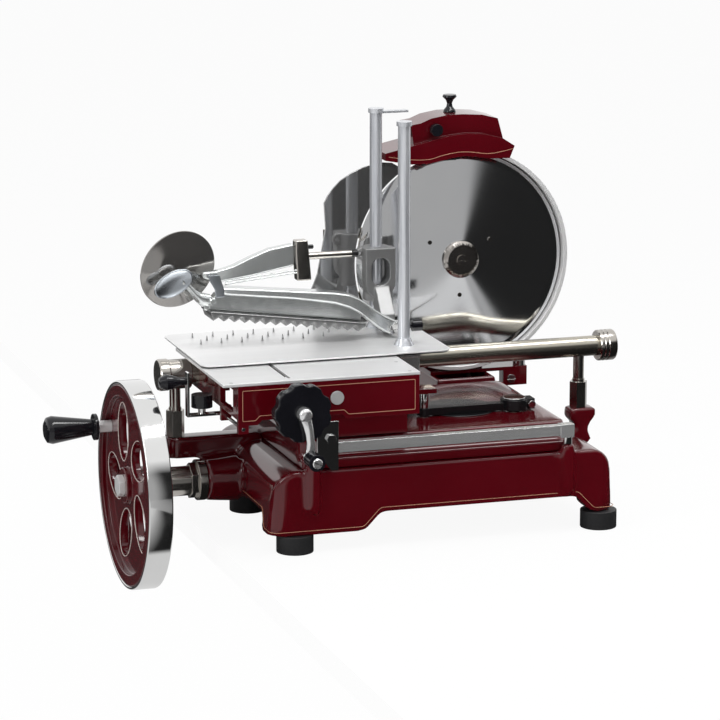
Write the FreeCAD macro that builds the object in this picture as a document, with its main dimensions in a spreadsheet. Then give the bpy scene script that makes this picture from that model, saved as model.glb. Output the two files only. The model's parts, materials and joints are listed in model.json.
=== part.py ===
import FreeCAD, Part
import math
import os
import re
import Sketcher

# Hand-cranked meat slicer. Millimetres. The origin is the centre of the four feet on the
# surface they stand on: +X along the carriage travel, +Y from the operator to the blade,
# +Z up. The flywheel hangs past the left end of the base and below the feet.

doc = FreeCAD.newDocument("MeatSlicer")
sheet = doc.addObject("Spreadsheet::Sheet", "sizes")
V = FreeCAD.Vector

# ---------------------------------------------------------------- driving dimensions

SIZES = {
    # clearances
    "run_gap": 0.3,            # between surfaces that pass each other
    "bore_gap": 0.05,          # radial, shaft in its bore
    # feet and base casting
    "foot_span_x": 424, "foot_span_y": 226, "foot_radius": 24.5, "foot_height": 24,
    "foot_recess": 9, "foot_recess_depth": 12, "screw_radius": 4, "screw_length": 36,
    "base_left": 250, "base_right": 231, "base_front": 130, "base_back": 165,
    "base_corner": 26, "base_lean": 9, "wall": 8, "arch_height": 48, "shoulder_height": 110,
    "shoulder_round": 30, "left_leg": 130, "right_leg": 34, "leg_round": 15,
    "side_arch": 78, "leg_slope": 23,
    "deck_height": 148, "deck_left": 205, "deck_right": 165, "deck_front": 112,
    "deck_back": 150, "step_front": 124, "step_height": 124,
    "rib_front": 75, "rib_back": 115, "tray_floor": 36, "tray_wall": 2,
    "tray_left": 186, "tray_right": 185,
    # flywheel shaft
    "shaft_y": 45, "shaft_z": 65, "shaft_radius": 14, "boss_radius": 28, "boss_flare": 32,
    "boss_reach": 292, "boss_inner": 200, "bush_radius": 20, "bush_length": 28,
    "collar_radius": 27.5, "collar_length": 11, "facet_radius": 24.5, "facet_length": 10,
    "sleeve_radius": 20,
    # flywheel
    "wheel_face": 403, "wheel_width": 33, "wheel_radius": 139.5, "band_thickness": 5,
    "rim_depth": 15, "hub_radius": 24, "web_thickness": 12, "web_recess": 8,
    "window_count": 5, "window_centre": 72, "window_long": 40, "window_wide": 27,
    "window_tilt": 24, "hub_nut_radius": 15, "hub_nut_length": 8,
    "grip_orbit": 110, "grip_angle": 33, "grip_length": 72, "grip_radius": 19,
    "grip_neck": 10.5, "grip_flange": 18, "grip_flange_width": 5, "spindle_radius": 5,
    "spindle_neck": 12, "spindle_neck_radius": 8,
    # drive line
    "drive_x": 121, "drive_y": -30, "gear_radius": 22, "gear_hub": 12, "mesh_gap": 0.6,
    "cross_radius": 9, "chain_y": 242, "chain_width": 6, "chain_thickness": 5,
    "low_sprocket": 30, "high_sprocket": 20,
    "case_back": 262, "case_wall": 6, "case_gap": 2, "case_rise": 2, "case_floor": 22,
    # drive arm on the deck
    "drive_shaft_radius": 9, "arm_reach": 128, "arm_gap": 2, "arm_thickness": 10,
    "arm_width": 14, "arm_hub_radius": 19, "arm_hub_height": 14, "arm_clamp": 26,
    "arm_eye": 10, "drive_pin_radius": 4, "drive_nut_radius": 7.5,
    "drive_nut_length": 20, "hub_cap_height": 2,
    "cover_radius": 52, "cover_thickness": 1.6, "cover_x": 52,
    # slide bar
    "bar_y": 80, "bar_z": 203.5, "bar_radius": 14, "bar_left": 331, "bar_right": 281,
    "cap_radius": 21.5, "cap_left_length": 14, "cap_right_length": 24,
    "head_radius": 20, "head_length": 30, "post_left_x": 321, "post_right_x": 255,
    "post_radius": 7.5, "post_foot": 119, "hex_size": 12.7, "hex_height": 36,
    "post_collar": 4, "bracket_width": 30,
    # front rail
    "rail_y": -134, "rail_depth": 12, "rail_bottom": 135, "rail_height": 14,
    "rail_left": 190, "rail_right": 166, "rail_post_x": 160, "rail_post_radius": 6,
    "pillar_radius": 10, "pillar_left_x": 192, "pillar_bottom": 58,
    "pillar_top": 122, "plate_left": 190, "plate_right": 161, "plate_bottom": 112,
    "plate_top": 178, "plate_thickness": 2.5, "rail_nut": 7,
    # carriage
    "plate_x_left": 311, "plate_x_right": 44, "plate_front": 125,
    "plate_back": 112, "plate_z": 228, "lower_plate": 4, "front_left": 291,
    "front_bottom": 176, "casting_wall": 7, "notch_left": 265, "notch_right": 145,
    "notch_height": 6, "side_bottom": 183, "bearing_bottom": 181, "window_bottom": 190,
    "window_top": 219,
    "window_front": 100, "window_back": 40, "bearing_length": 34, "bearing_side": 22,
    "button_x": -158, "button_z": 205, "button_radius": 9,
    "lug_bottom": 182, "lug_thickness": 6, "lug_reach": 56,
    "roller_x": -95, "roller_radius": 13, "roller_width": 12, "axle_radius": 4,
    "rib_left": 200, "rib_right": 60, "rib_gap": 3, "rib_thickness": 5,
    # meat table
    "table_left": 312, "table_right": 34, "table_front": 29, "table_back": 178,
    "table_thickness": 4, "table_round": 14, "feed_back": 90, "feed_on": 8,
    "pin_left": 278, "pin_pitch": 28.6, "pin_rows_y": 148, "pin_row_pitch": 22,
    "pin_radius": 1.6, "pin_height": 7, "pin_columns": 7,
    "column_x": -19, "column_front_y": 20, "column_back_y": 143, "column_radius": 8.4,
    "column_top": 533, "column_foot": 13.5, "column_foot_height": 9,
    "column_cap": 10.5, "column_cap_height": 6, "finger_length": 34,
    "block_left": 38, "block_bottom": 221, "block_leg_bottom": 200,
    "column_knob_z": 262, "column_knob_radius": 8, "column_knob_length": 13,
    # feed
    "feed_x": -219, "feed_z": 199.5, "feed_screw_radius": 6, "feed_wheel_radius": 38.5,
    "feed_wheel_back": 162, "feed_wheel_width": 16, "feed_hub_radius": 14,
    "feed_hub_length": 6,
    "scallops": 9, "scallop_radius": 11, "scallop_depth": 3,
    "feed_end": 45, "feed_arm_reach": 58, "feed_arm_width": 16, "feed_arm_thickness": 6,
    "feed_arm_tilt": 7, "feed_grip_radius": 11, "feed_grip_length": 25,
    "feed_nut_width": 22, "feed_nut_length": 18, "feed_nut_neck": 5, "feed_nut_y": -20,
    # press
    "press_y": 80, "press_width": 26, "carrier_bottom": 275, "carrier_top": 349,
    "carrier_radius": 18, "carrier_half": 21, "carrier_front": 23, "carrier_window": 13,
    "pivot_x": -17, "pivot_z": 249, "pivot_boss": 11, "pivot_pin": 5, "pivot_head": 8.5,
    "pivot_head_length": 6, "ear_radius": 9,
    "comb_left": 276, "comb_height": 290, "comb_run": 216, "comb_fall": 29,
    "teeth": 15, "tooth_depth": 8, "foot_width": 44, "foot_strip": 5,
    "link_thickness": 14, "guard_radius": 52, "guard_thickness": 2.4, "guard_gap": 17,
    "handle_long": 27.5, "handle_wide": 16, "handle_tilt": 27, "handle_thickness": 16,
    "handle_x": 323, "handle_z": 327.5,
    "stop_rod": 4,
    # release lever
    "lever_y": -24, "lever_width": 12, "lever_pivot_x": -284, "lever_pivot_z": 171,
    "lever_strip": 3, "lever_left": 333, "lever_top": 229, "lever_rod": 2.5,
    "pear_radius": 10.5, "pear_neck": 5, "pear_length": 38, "pear_z": 217,
    "knob_x": -312, "knob_radius": 14, "knob_height": 17, "knob_stem": 5, "knob_bottom": 181,
    # blade
    "blade_y": 197, "blade_z": 313, "blade_radius": 150, "blade_thickness": 4,
    "bevel_width": 12, "edge_thickness": 0.6, "blade_cap_radius": 26, "blade_cap_depth": 11,
    "blade_screw_radius": 7.5, "blade_shaft_radius": 15, "bearing_radius": 25,
    "bearing_depth": 16, "blade_rivet_radius": 3, "blade_rivet_orbit": 51,
    # guard ring and head
    "ring_gap": 1.6, "ring_wall": 6, "ring_front": 190, "head_front": 216,
    "head_plate": 7, "ring_gap_start": 99, "ring_gap_end": 242,
    "ear_x": 197, "ear_drop": 10, "ear_front": 194, "flange_height": 5,
    "head_radius_small": 140, "guard_post_x": 212, "guard_post_radius": 9,
    # gauge plate
    "gauge_thickness": 3.5, "gauge_gap": 3,
    "gauge_stud": 4, "gauge_stud_x": -60,
    # sharpener
    "cover_front": 178, "cover_back": 228, "cover_flare": 9, "stone_x": 107, "stone_z": 464,
    "stone_radius": 9, "stone_thickness": 5, "fork_y": 203, "fork_front": 186,
    "fork_back": 215, "fork_leg": 4, "fork_half": 10, "fork_top": 488, "fork_lift": 6,
    "spool_radius": 10, "spool_waist": 3.5, "spool_bottom": 519.3, "spool_height": 24,
    "spool_rod": 4, "button_push_x": 77, "button_push_z": 500, "push_radius": 8.5, "push_length": 9,
    "push_travel": 3,
}

DERIVED = {
    "arm_bottom": "deck_height + arm_gap",
    "case_top": "deck_height + case_rise",
    "case_width": "2 * (low_sprocket + chain_thickness + case_gap + case_wall)",
    "rib_bottom": "deck_height + rib_gap",
    "ear_z": "deck_height - ear_drop",
    "band_inner": "wheel_radius - band_thickness",
    "rim_inner": "band_inner - rim_depth",
    "collar_end": "boss_reach + collar_length",
    "facet_end": "collar_end + facet_length",
    "wheel_back": "wheel_face - wheel_width",
    "lower_top": "plate_z + lower_plate",
    "table_bottom": "lower_top + run_gap",
    "table_top": "table_bottom + table_thickness",
    "ring_inner": "blade_radius + ring_gap",
    "ring_outer": "ring_inner + ring_wall",
    "roller_z": "deck_height + run_gap + roller_radius",
    "bar_bore": "bar_radius + bore_gap",
    "blade_back": "blade_y + blade_thickness",
    "arm_top": "arm_bottom + arm_thickness",
    "hub_top": "arm_bottom + arm_hub_height",
    "rail_top": "rail_bottom + rail_height",
    "grip_y": "shaft_y + grip_orbit * %.6f" % math.cos(math.radians(SIZES["grip_angle"])),
    "grip_z": "shaft_z + grip_orbit * %.6f" % math.sin(math.radians(SIZES["grip_angle"])),
    "carrier_bore": "column_radius + bore_gap",
    "press_front": "press_y - press_width / 2",
    "press_back": "press_y + press_width / 2",
    "chain_lean": "(low_sprocket - high_sprocket) / (blade_z - shaft_z)",
    "chain_face": "sqrt(1 - chain_lean * chain_lean)",
}


def bound(expression):
    """The expression with each size name pointed at the spreadsheet."""
    known = set(SIZES) | set(DERIVED)
    return re.sub(
        r"[A-Za-z_][A-Za-z0-9_]*",
        lambda word: "sizes." + word.group(0) if word.group(0) in known else word.group(0),
        str(expression),
    )


def fill_sheet():
    row = 1
    for name, number in SIZES.items():
        sheet.set("A%d" % row, name)
        sheet.set("B%d" % row, str(number))
        sheet.setAlias("B%d" % row, name)
        row += 1
    for name, formula in DERIVED.items():
        sheet.set("A%d" % row, name)
        sheet.set("B%d" % row, "=" + formula)
        sheet.setAlias("B%d" % row, name)
        row += 1
    doc.recompute()


fill_sheet()


def size(name):
    """The number that the spreadsheet holds for a name."""
    return float(sheet.get(name))


# ---------------------------------------------------------------- building helpers

TURNS = {
    "X": FreeCAD.Rotation(V(0, 1, 0), 90),
    "Y": FreeCAD.Rotation(V(1, 0, 0), -90),
    "Z": FreeCAD.Rotation(),
}
nodes = []


def node(thing, label):
    """Keeps a finished piece under its own label."""
    thing.Label = label
    nodes.append(thing)
    return thing


def put(thing, x, y, z):
    for letter, expression in zip("xyz", (x, y, z)):
        thing.setExpression("Placement.Base." + letter, bound(expression))
    return thing


def along(thing, axis, start, u, v):
    """Stands a thing along an axis: start on that axis, u and v on the other two."""
    thing.Placement = FreeCAD.Placement(V(), TURNS[axis])
    spots = {"X": (start, u, v), "Y": (u, start, v), "Z": (u, v, start)}
    return put(thing, *spots[axis])


def cylinder(name, axis, radius, start, length, u=0, v=0):
    thing = doc.addObject("Part::Cylinder", name)
    thing.setExpression("Radius", bound(radius))
    thing.setExpression("Height", bound(length))
    return along(thing, axis, start, u, v)


def cone(name, axis, low_radius, high_radius, start, length, u=0, v=0):
    thing = doc.addObject("Part::Cone", name)
    thing.setExpression("Radius1", bound(low_radius))
    thing.setExpression("Radius2", bound(high_radius))
    thing.setExpression("Height", bound(length))
    return along(thing, axis, start, u, v)


def hexagon(name, axis, radius, start, length, u=0, v=0):
    thing = doc.addObject("Part::Prism", name)
    thing.Polygon = 6
    thing.setExpression("Circumradius", bound(radius))
    thing.setExpression("Height", bound(length))
    return along(thing, axis, start, u, v)


def box(name, x, length, y, depth, z, height):
    thing = doc.addObject("Part::Box", name)
    thing.setExpression("Length", bound(length))
    thing.setExpression("Width", bound(depth))
    thing.setExpression("Height", bound(height))
    return put(thing, x, y, z)


def fuse(name, *parts):
    thing = doc.addObject("Part::MultiFuse", name)
    thing.Shapes = list(parts)
    return thing


def group(name, *parts):
    """Separate solids kept together in one node."""
    thing = doc.addObject("Part::Compound", name)
    thing.Links = list(parts)
    return thing


def common(name, first, second):
    thing = doc.addObject("Part::Common", name)
    thing.Base = first
    thing.Tool = second
    return thing


def cut(name, base, *tools):
    thing = doc.addObject("Part::Cut", name)
    thing.Base = base
    thing.Tool = tools[0] if len(tools) == 1 else fuse(name + "_tools", *tools)
    return thing


def ring(name, axis, outer, inner, start, length, u=0, v=0):
    whole = cylinder(name + "_outside", axis, outer, start, length, u, v)
    hole = cylinder(name + "_inside", axis, inner, "%s - 1" % start, "%s + 2" % length, u, v)
    return cut(name, whole, hole)


def outline(body, name, plane, points):
    """A closed sketch of straight lines whose corners sit at the given expressions."""
    sketch = body.newObject("Sketcher::SketchObject", name)
    planes = {feature.Role: feature for feature in body.Origin.OriginFeatures}
    sketch.AttachmentSupport = [(planes[plane + "_Plane"], "")]
    sketch.MapMode = "FlatFace"
    count = len(points)
    turns = [2 * math.pi * i / count for i in range(count)]
    spots = [(100 * math.cos(turn), 100 * math.sin(turn)) for turn in turns]
    for here, there in zip(spots, spots[1:] + spots[:1]):
        sketch.addGeometry(Part.LineSegment(V(here[0], here[1], 0), V(there[0], there[1], 0)))
    for i in range(count):
        sketch.addConstraint(Sketcher.Constraint("Coincident", i, 2, (i + 1) % count, 1))
    for i in range(count):
        for j, kind in enumerate(("DistanceX", "DistanceY")):
            index = sketch.addConstraint(Sketcher.Constraint(kind, -1, 1, i, 1, spots[i][j]))
            sketch.setExpression("Constraints[%d]" % index, bound(points[i][j]))
    return sketch


def prism(name, plane, points, start, length, rounds=None):
    """An outline on an origin plane, padded from start; rounds is {radius: [corners]}."""
    body = doc.addObject("PartDesign::Body", name)
    sketch = outline(body, name + "_outline", plane, points)
    side = -1 if plane == "XZ" else 1
    sketch.setExpression("AttachmentOffset.Base.z", bound("%d * (%s) * 1 mm" % (side, start)))
    pad = body.newObject("PartDesign::Pad", name + "_pad")
    pad.Profile = sketch
    pad.setExpression("Length", bound(length))
    pad.Reversed = plane == "XZ"
    body.Tip = pad
    if rounds:
        doc.recompute()
    spots = [(line.StartPoint.x, line.StartPoint.y) for line in sketch.Geometry]
    for radius, corners in (rounds or {}).items():
        tip = body.Tip
        picked = corner_edges(tip.Shape, plane, [spots[i] for i in corners])
        fillet = body.newObject("PartDesign::Fillet", name + "_round")
        fillet.Base = (tip, picked)
        fillet.setExpression("Radius", bound(radius))
        body.Tip = fillet
        doc.recompute()
    return body


def corner_edges(shape, plane, spots):
    """The names of the edges that rise from the given corners of an outline."""
    first, second = {"XY": (0, 1), "XZ": (0, 2), "YZ": (1, 2)}[plane]
    names = []
    for i, edge in enumerate(shape.Edges):
        ends = [tuple(vertex.Point) for vertex in edge.Vertexes]
        for spot in spots:
            if all(math.dist((end[first], end[second]), spot) < 1e-4 for end in ends):
                names.append("Edge%d" % (i + 1))
                break
    return names


def turned(name, axis, points, start, u=0, v=0):
    """A profile of (radius, place along the axis) turned about an axis."""
    body = doc.addObject("PartDesign::Body", name)
    sketch = outline(body, name + "_profile", "XZ", points)
    turn = body.newObject("PartDesign::Revolution", name + "_turn")
    turn.Profile = sketch
    turn.ReferenceAxis = (sketch, ["V_Axis"])
    turn.Angle = 360
    body.Tip = turn
    return along(body, axis, start, u, v)


def polar(x, z, radius, degrees):
    """A point at a radius and angle about (x, z), as two expressions."""
    across = math.cos(math.radians(degrees))
    up = math.sin(math.radians(degrees))
    return ("%s + (%s) * %.6f" % (x, radius, across), "%s + (%s) * %.6f" % (z, radius, up))


# ---------------------------------------------------------------- base


def base_shell():
    """The outer bell of the base: front profile within a plan with rounded corners."""
    left = "-base_left"
    right = "base_right"
    profile = prism(
        "base_profile", "XZ",
        [
            (left, "foot_height"),
            ("-base_left + left_leg", "foot_height"),
            ("-base_left + left_leg + leg_slope", "arch_height"),
            ("base_right - right_leg - leg_slope", "arch_height"),
            ("base_right - right_leg", "foot_height"),
            (right, "foot_height"),
            ("base_right - base_lean", "shoulder_height"),
            ("-base_left + base_lean", "shoulder_height"),
        ],
        "-base_front", "base_front + base_back",
        {"leg_round": [1, 2, 3, 4], "shoulder_round": [6, 7]},
    )
    plan = prism(
        "base_plan", "XY",
        [(left, "-base_front"), (right, "-base_front"), (right, "base_back"), (left, "base_back")],
        "0", "shoulder_height + 1", {"base_corner": [0, 1, 2, 3]},
    )
    return common("base_shell", profile, plan)


def base_hollow():
    """The space inside the lower casting and under the deck."""
    left = "-base_left + wall"
    right = "base_right - wall"
    front = "-base_front + wall"
    back = "base_back - wall"
    top = "shoulder_height - wall"
    profile = prism(
        "hollow_profile", "XZ",
        [(left, "0"), (right, "0"), (right + " - base_lean", top), (left + " + base_lean", top)],
        front, "base_front + base_back - 2 * wall", {"shoulder_round - wall": [2, 3]},
    )
    plan = prism(
        "hollow_plan", "XY", [(left, front), (right, front), (right, back), (left, back)],
        "0", "shoulder_height", {"base_corner - wall": [0, 1, 2, 3]},
    )
    under_deck = box(
        "hollow_deck", "-deck_left + wall", "deck_left + deck_right - 2 * wall",
        "-deck_front + wall", "deck_front + deck_back - 2 * wall",
        "shoulder_height - wall - 1", "deck_height - shoulder_height + 1",
    )
    return [common("hollow_bell", profile, plan), under_deck]


def deck_blocks():
    """The raised deck and the moulded step along its front, still solid."""
    left = "-deck_left"
    right = "deck_right"
    deck = prism(
        "deck", "XY",
        [(left, "-deck_front"), (right, "-deck_front"), (right, "deck_back"), (left, "deck_back")],
        "shoulder_height", "deck_height - shoulder_height", {"wall + 4": [0, 1, 2, 3]},
    )
    step = box(
        "deck_step", "-deck_left + 1", "deck_left + deck_right - 2", "-step_front",
        "step_front - deck_front + wall", "shoulder_height", "step_height - shoulder_height",
    )
    return fuse("deck_blocks", deck, step)


def base_feet_pads(shell):
    pads = []
    for side in (-1, 1):
        for end in (-1, 1):
            pads.append(box(
                "foot_pad", "%d * foot_span_x / 2 - foot_radius" % side, "2 * foot_radius",
                "%d * foot_span_y / 2 - foot_radius" % end, "2 * foot_radius",
                "foot_height", "screw_length - foot_height + foot_recess_depth",
            ))
    return common("foot_pads", fuse("foot_pad_blocks", *pads), shell)


def base_deck(blocks, hollow):
    """The upper casting: the deck with the hangers and the boss under it."""
    whole = fuse(
        "deck_whole", cut("deck_open", blocks, hollow),
        box("shaft_hanger", "60", "wall", "shaft_y - 22", "44", "arch_height",
            "deck_height - arch_height - wall + 1"),
        box("cross_hanger", "drive_x - 20", "40", "6", "wall", "arch_height",
            "deck_height - arch_height - wall + 1"),
        cylinder("drive_boss", "Z", "drive_shaft_radius + wall", "deck_height - 26", "20",
                 "drive_x", "drive_y"),
    )
    holes = [
        cylinder("hanger_bore", "X", "shaft_radius + bore_gap", "58", "wall + 4",
                 "shaft_y", "shaft_z"),
        cylinder("hanger_cross_bore", "Y", "cross_radius + bore_gap", "0", "20",
                 "drive_x", "shaft_z"),
        cylinder("drive_bore", "Z", "drive_shaft_radius + bore_gap", "deck_height - 28", "30",
                 "drive_x", "drive_y"),
    ]
    return node(cut("deck_body", whole, *holes), "base_deck")


def base_casting():
    """The lower casting: the bell with its ribs, bosses, brackets and gear case."""
    shell = base_shell()
    bell, under_deck = base_hollow()
    blocks = deck_blocks()
    base_deck(blocks, under_deck)
    open_shell = cut("base_open", shell, bell, under_deck)
    rib_length = "base_left + base_right - 2 * (wall + shoulder_round)"
    rib_height = "shoulder_height - arch_height - wall + 1"
    solids = [
        box("rib_front", "-base_left + wall + shoulder_round", rib_length, "-rib_front", "wall",
            "arch_height", rib_height),
        box("rib_back", "-base_left + wall + shoulder_round", rib_length, "rib_back - wall", "wall",
            "arch_height", rib_height),
        cone("shaft_boss_flare", "X", "boss_radius", "boss_flare", "-boss_reach",
             "boss_reach - base_left + wall / 2", "shaft_y", "shaft_z"),
        cylinder("shaft_boss", "X", "boss_radius", "-base_left", "base_left - boss_inner",
                 "shaft_y", "shaft_z"),
        box("bar_arm", "-post_left_x", "post_left_x - deck_left + wall",
            "bar_y - bracket_width / 2", "bracket_width", "post_foot - 29", "29"),
        cylinder("bar_arm_end", "Z", "bracket_width / 2", "post_foot - 29", "29",
                 "-post_left_x", "bar_y"),
        prism(
            "bar_bracket", "XZ",
            [
                ("base_right - 28", "shoulder_height - 12"),
                ("base_right - 14", "shoulder_height - 48"),
                ("post_right_x + 8", "post_foot - 53"),
                ("post_right_x + 15", "post_foot - 44"),
                ("post_right_x + 10", "post_foot - 31"),
                ("post_right_x + 13", "post_foot - 22"),
                ("post_right_x + 21", "post_foot - 13"),
                ("post_right_x + 21", "post_foot"),
                ("post_right_x - 15", "post_foot"),
                ("post_right_x - 17", "post_foot - 14"),
                ("post_right_x - 6", "post_foot - 25"),
                ("post_right_x - 12", "post_foot - 30"),
            ],
            "bar_y - bracket_width / 2", "bracket_width",
        ),
        cylinder("pillar_left", "Z", "pillar_radius", "pillar_bottom",
                 "pillar_top - pillar_bottom", "-pillar_left_x", "-base_front"),
        cone("pillar_left_foot", "Z", "2", "pillar_radius", "pillar_bottom - pillar_radius",
             "pillar_radius", "-pillar_left_x", "-base_front"),
        cylinder("pillar_right", "Z", "pillar_radius", "pillar_bottom",
                 "pillar_top - pillar_bottom", "rail_post_x", "-base_front"),
        cone("pillar_right_foot", "Z", "2", "pillar_radius", "pillar_bottom - pillar_radius",
             "pillar_radius", "rail_post_x", "-base_front"),
        box("gear_case", "drive_x - case_width / 2", "case_width", "base_back - wall / 2",
            "case_back - base_back + wall / 2", "case_floor", "case_top - case_floor"),
    ]
    tunnel = prism(
        "side_arches", "YZ",
        [
            ("-side_arch - 14", "0"),
            ("-side_arch", "arch_height"),
            ("side_arch", "arch_height"),
            ("side_arch + 14", "0"),
        ],
        "-base_left - 1", "base_left + base_right + 2", {"leg_round": [1, 2]},
    )
    arched = cut("base_arched", fuse("base_footed", open_shell, base_feet_pads(shell)), tunnel)
    solid = fuse("base_solid", arched, *solids)
    holes = [
        box("case_inside", "drive_x - case_width / 2 + case_wall", "case_width - 2 * case_wall",
            "base_back + case_wall", "case_back - base_back - 2 * case_wall",
            "case_floor + case_wall", "case_top - case_floor"),
        cylinder("boss_bore", "X", "bush_radius + bore_gap", "-boss_reach - 1",
                 "boss_reach - boss_inner + 2", "shaft_y", "shaft_z"),
        cylinder("cross_bore", "Y", "cross_radius + bore_gap", "50",
                 "base_back + case_wall - 48", "drive_x", "shaft_z"),
        blocks,
    ]
    for side in (-1, 1):
        for end in (-1, 1):
            holes.append(cylinder(
                "foot_screw_hole", "Z", "screw_radius + bore_gap", "0", "screw_length + 12",
                "%d * foot_span_x / 2" % side, "%d * foot_span_y / 2" % end,
            ))
    return node(cut("base_body", solid, *holes), "base_casting")


def underside_tray():
    """A sheet tray under the ribs that closes the machinery off from below."""
    outside = box("tray_outside", "-tray_left", "tray_left + tray_right", "-rib_front",
                  "rib_front + rib_back", "tray_floor", "arch_height - tray_floor")
    inside = box("tray_inside", "-tray_left + tray_wall", "tray_left + tray_right - 2 * tray_wall",
                 "-rib_front + tray_wall", "rib_front + rib_back - 2 * tray_wall",
                 "tray_floor + tray_wall", "arch_height")
    return node(cut("tray", outside, inside), "underside_cover")


def feet():
    rubbers = []
    screws = []
    for side in (-1, 1):
        for end in (-1, 1):
            x = "%d * foot_span_x / 2" % side
            y = "%d * foot_span_y / 2" % end
            foot = cylinder("foot", "Z", "foot_radius", "0", "foot_height", x, y)
            recess = cylinder("foot_hole", "Z", "foot_recess", "0", "foot_recess_depth", x, y)
            bore = cylinder("foot_bore", "Z", "screw_radius + bore_gap", "0", "foot_height", x, y)
            rubbers.append(cut("rubber_foot", foot, recess, bore))
            head = cylinder("foot_screw_head", "Z", "foot_recess - 1", "foot_recess_depth - 5",
                            "5", x, y)
            shank = cylinder("foot_screw_shank", "Z", "screw_radius", "foot_recess_depth - 1",
                             "screw_length - 4", x, y)
            screws.append(fuse("foot_screw", head, shank))
    node(group("feet", *rubbers), "rubber_feet")
    node(group("foot_screw_set", *screws), "foot_screws")


# ---------------------------------------------------------------- slide bar and front rail


def slide_bar():
    node(cylinder("bar", "X", "bar_radius", "-bar_left", "bar_left + bar_right",
                  "bar_y", "bar_z"), "slide_bar")
    caps = [
        cylinder("cap_left", "X", "cap_radius", "-bar_left - cap_left_length",
                 "cap_left_length", "bar_y", "bar_z"),
        cylinder("cap_right", "X", "cap_radius", "bar_right", "cap_right_length",
                 "bar_y", "bar_z"),
        ring("bar_head", "X", "head_radius", "bar_bore", "-bar_left", "head_length",
             "bar_y", "bar_z"),
    ]
    node(group("bar_ends", *caps), "slide_bar_ends")
    posts = []
    for name, x, seat in (
        ("left", "-post_left_x", "head_radius + bore_gap"),
        ("right", "post_right_x", "bar_bore"),
    ):
        base = hexagon("post_hex_" + name, "Z", "hex_size", "post_foot", "hex_height", x, "bar_y")
        collar = cylinder("post_collar_" + name, "Z", "post_radius + 1",
                          "post_foot + hex_height", "post_collar", x, "bar_y")
        stem = cylinder("post_stem_" + name, "Z", "post_radius",
                        "post_foot + hex_height", "bar_z - post_foot - hex_height", x, "bar_y")
        saddle = cylinder("post_saddle_" + name, "X", seat, "%s - 30" % x, "60",
                          "bar_y", "bar_z")
        posts.append(cut("post_" + name, fuse("post_whole_" + name, base, collar, stem), saddle))
    node(group("posts", *posts), "slide_bar_posts")


def front_rail():
    rail = box("rail", "-rail_left", "rail_left + rail_right", "rail_y - rail_depth / 2",
               "rail_depth", "rail_bottom", "rail_height")
    end = box("rail_end", "rail_post_x - 13", "rail_right - rail_post_x + 13",
              "rail_y - rail_depth / 2 - 1", "rail_depth + 2", "rail_bottom - 3",
              "rail_height + 4")
    node(fuse("rail_with_end", rail, end), "front_rail")
    post = cylinder("rail_post", "Z", "rail_post_radius", "pillar_top",
                    "rail_bottom - 3 - pillar_top", "rail_post_x", "rail_y + 3")
    plate_y = "rail_y - rail_depth / 2 - plate_thickness"
    plate = prism(
        "rail_plate", "XZ",
        [
            ("-plate_left", "plate_bottom + 26"),
            ("-plate_right - 10", "plate_bottom"),
            ("-plate_right", "plate_bottom"),
            ("-plate_right", "plate_top"),
            ("-plate_left + 8", "plate_top"),
            ("-plate_left", "plate_top - 12"),
        ],
        plate_y, "plate_thickness",
    )
    stand = box("rail_stand", "-pillar_left_x - 8", "16", "-base_front - 9",
                "rail_depth + 1", "pillar_top", "rail_bottom - pillar_top")
    nut = hexagon("rail_nut_hex", "Y", "rail_nut", "%s - 5" % plate_y, "5",
                  "-plate_left + 18", "rail_top + 6")
    node(group("rail_mounts", post, plate, stand, nut), "front_rail_mounts")


# ---------------------------------------------------------------- flywheel and its shaft


def shaft_seats():
    collar = ring("collar_band", "X", "collar_radius", "shaft_radius + bore_gap",
                  "-collar_end", "collar_length", "shaft_y", "shaft_z")
    facet = cut(
        "facet_ring",
        hexagon("facet_outside", "X", "facet_radius", "-facet_end", "facet_length",
                "shaft_y", "shaft_z"),
        cylinder("facet_inside", "X", "shaft_radius + bore_gap", "-facet_end - 1",
                 "facet_length + 2", "shaft_y", "shaft_z"),
    )
    node(group("collars", collar, facet), "shaft_collar")
    bushes = []
    for start in ("-boss_reach", "-boss_inner - bush_length"):
        bushes.append(ring("bush", "X", "bush_radius", "shaft_radius + bore_gap", start,
                           "bush_length", "shaft_y", "shaft_z"))
    node(group("bushes", *bushes), "shaft_bushes")


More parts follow.
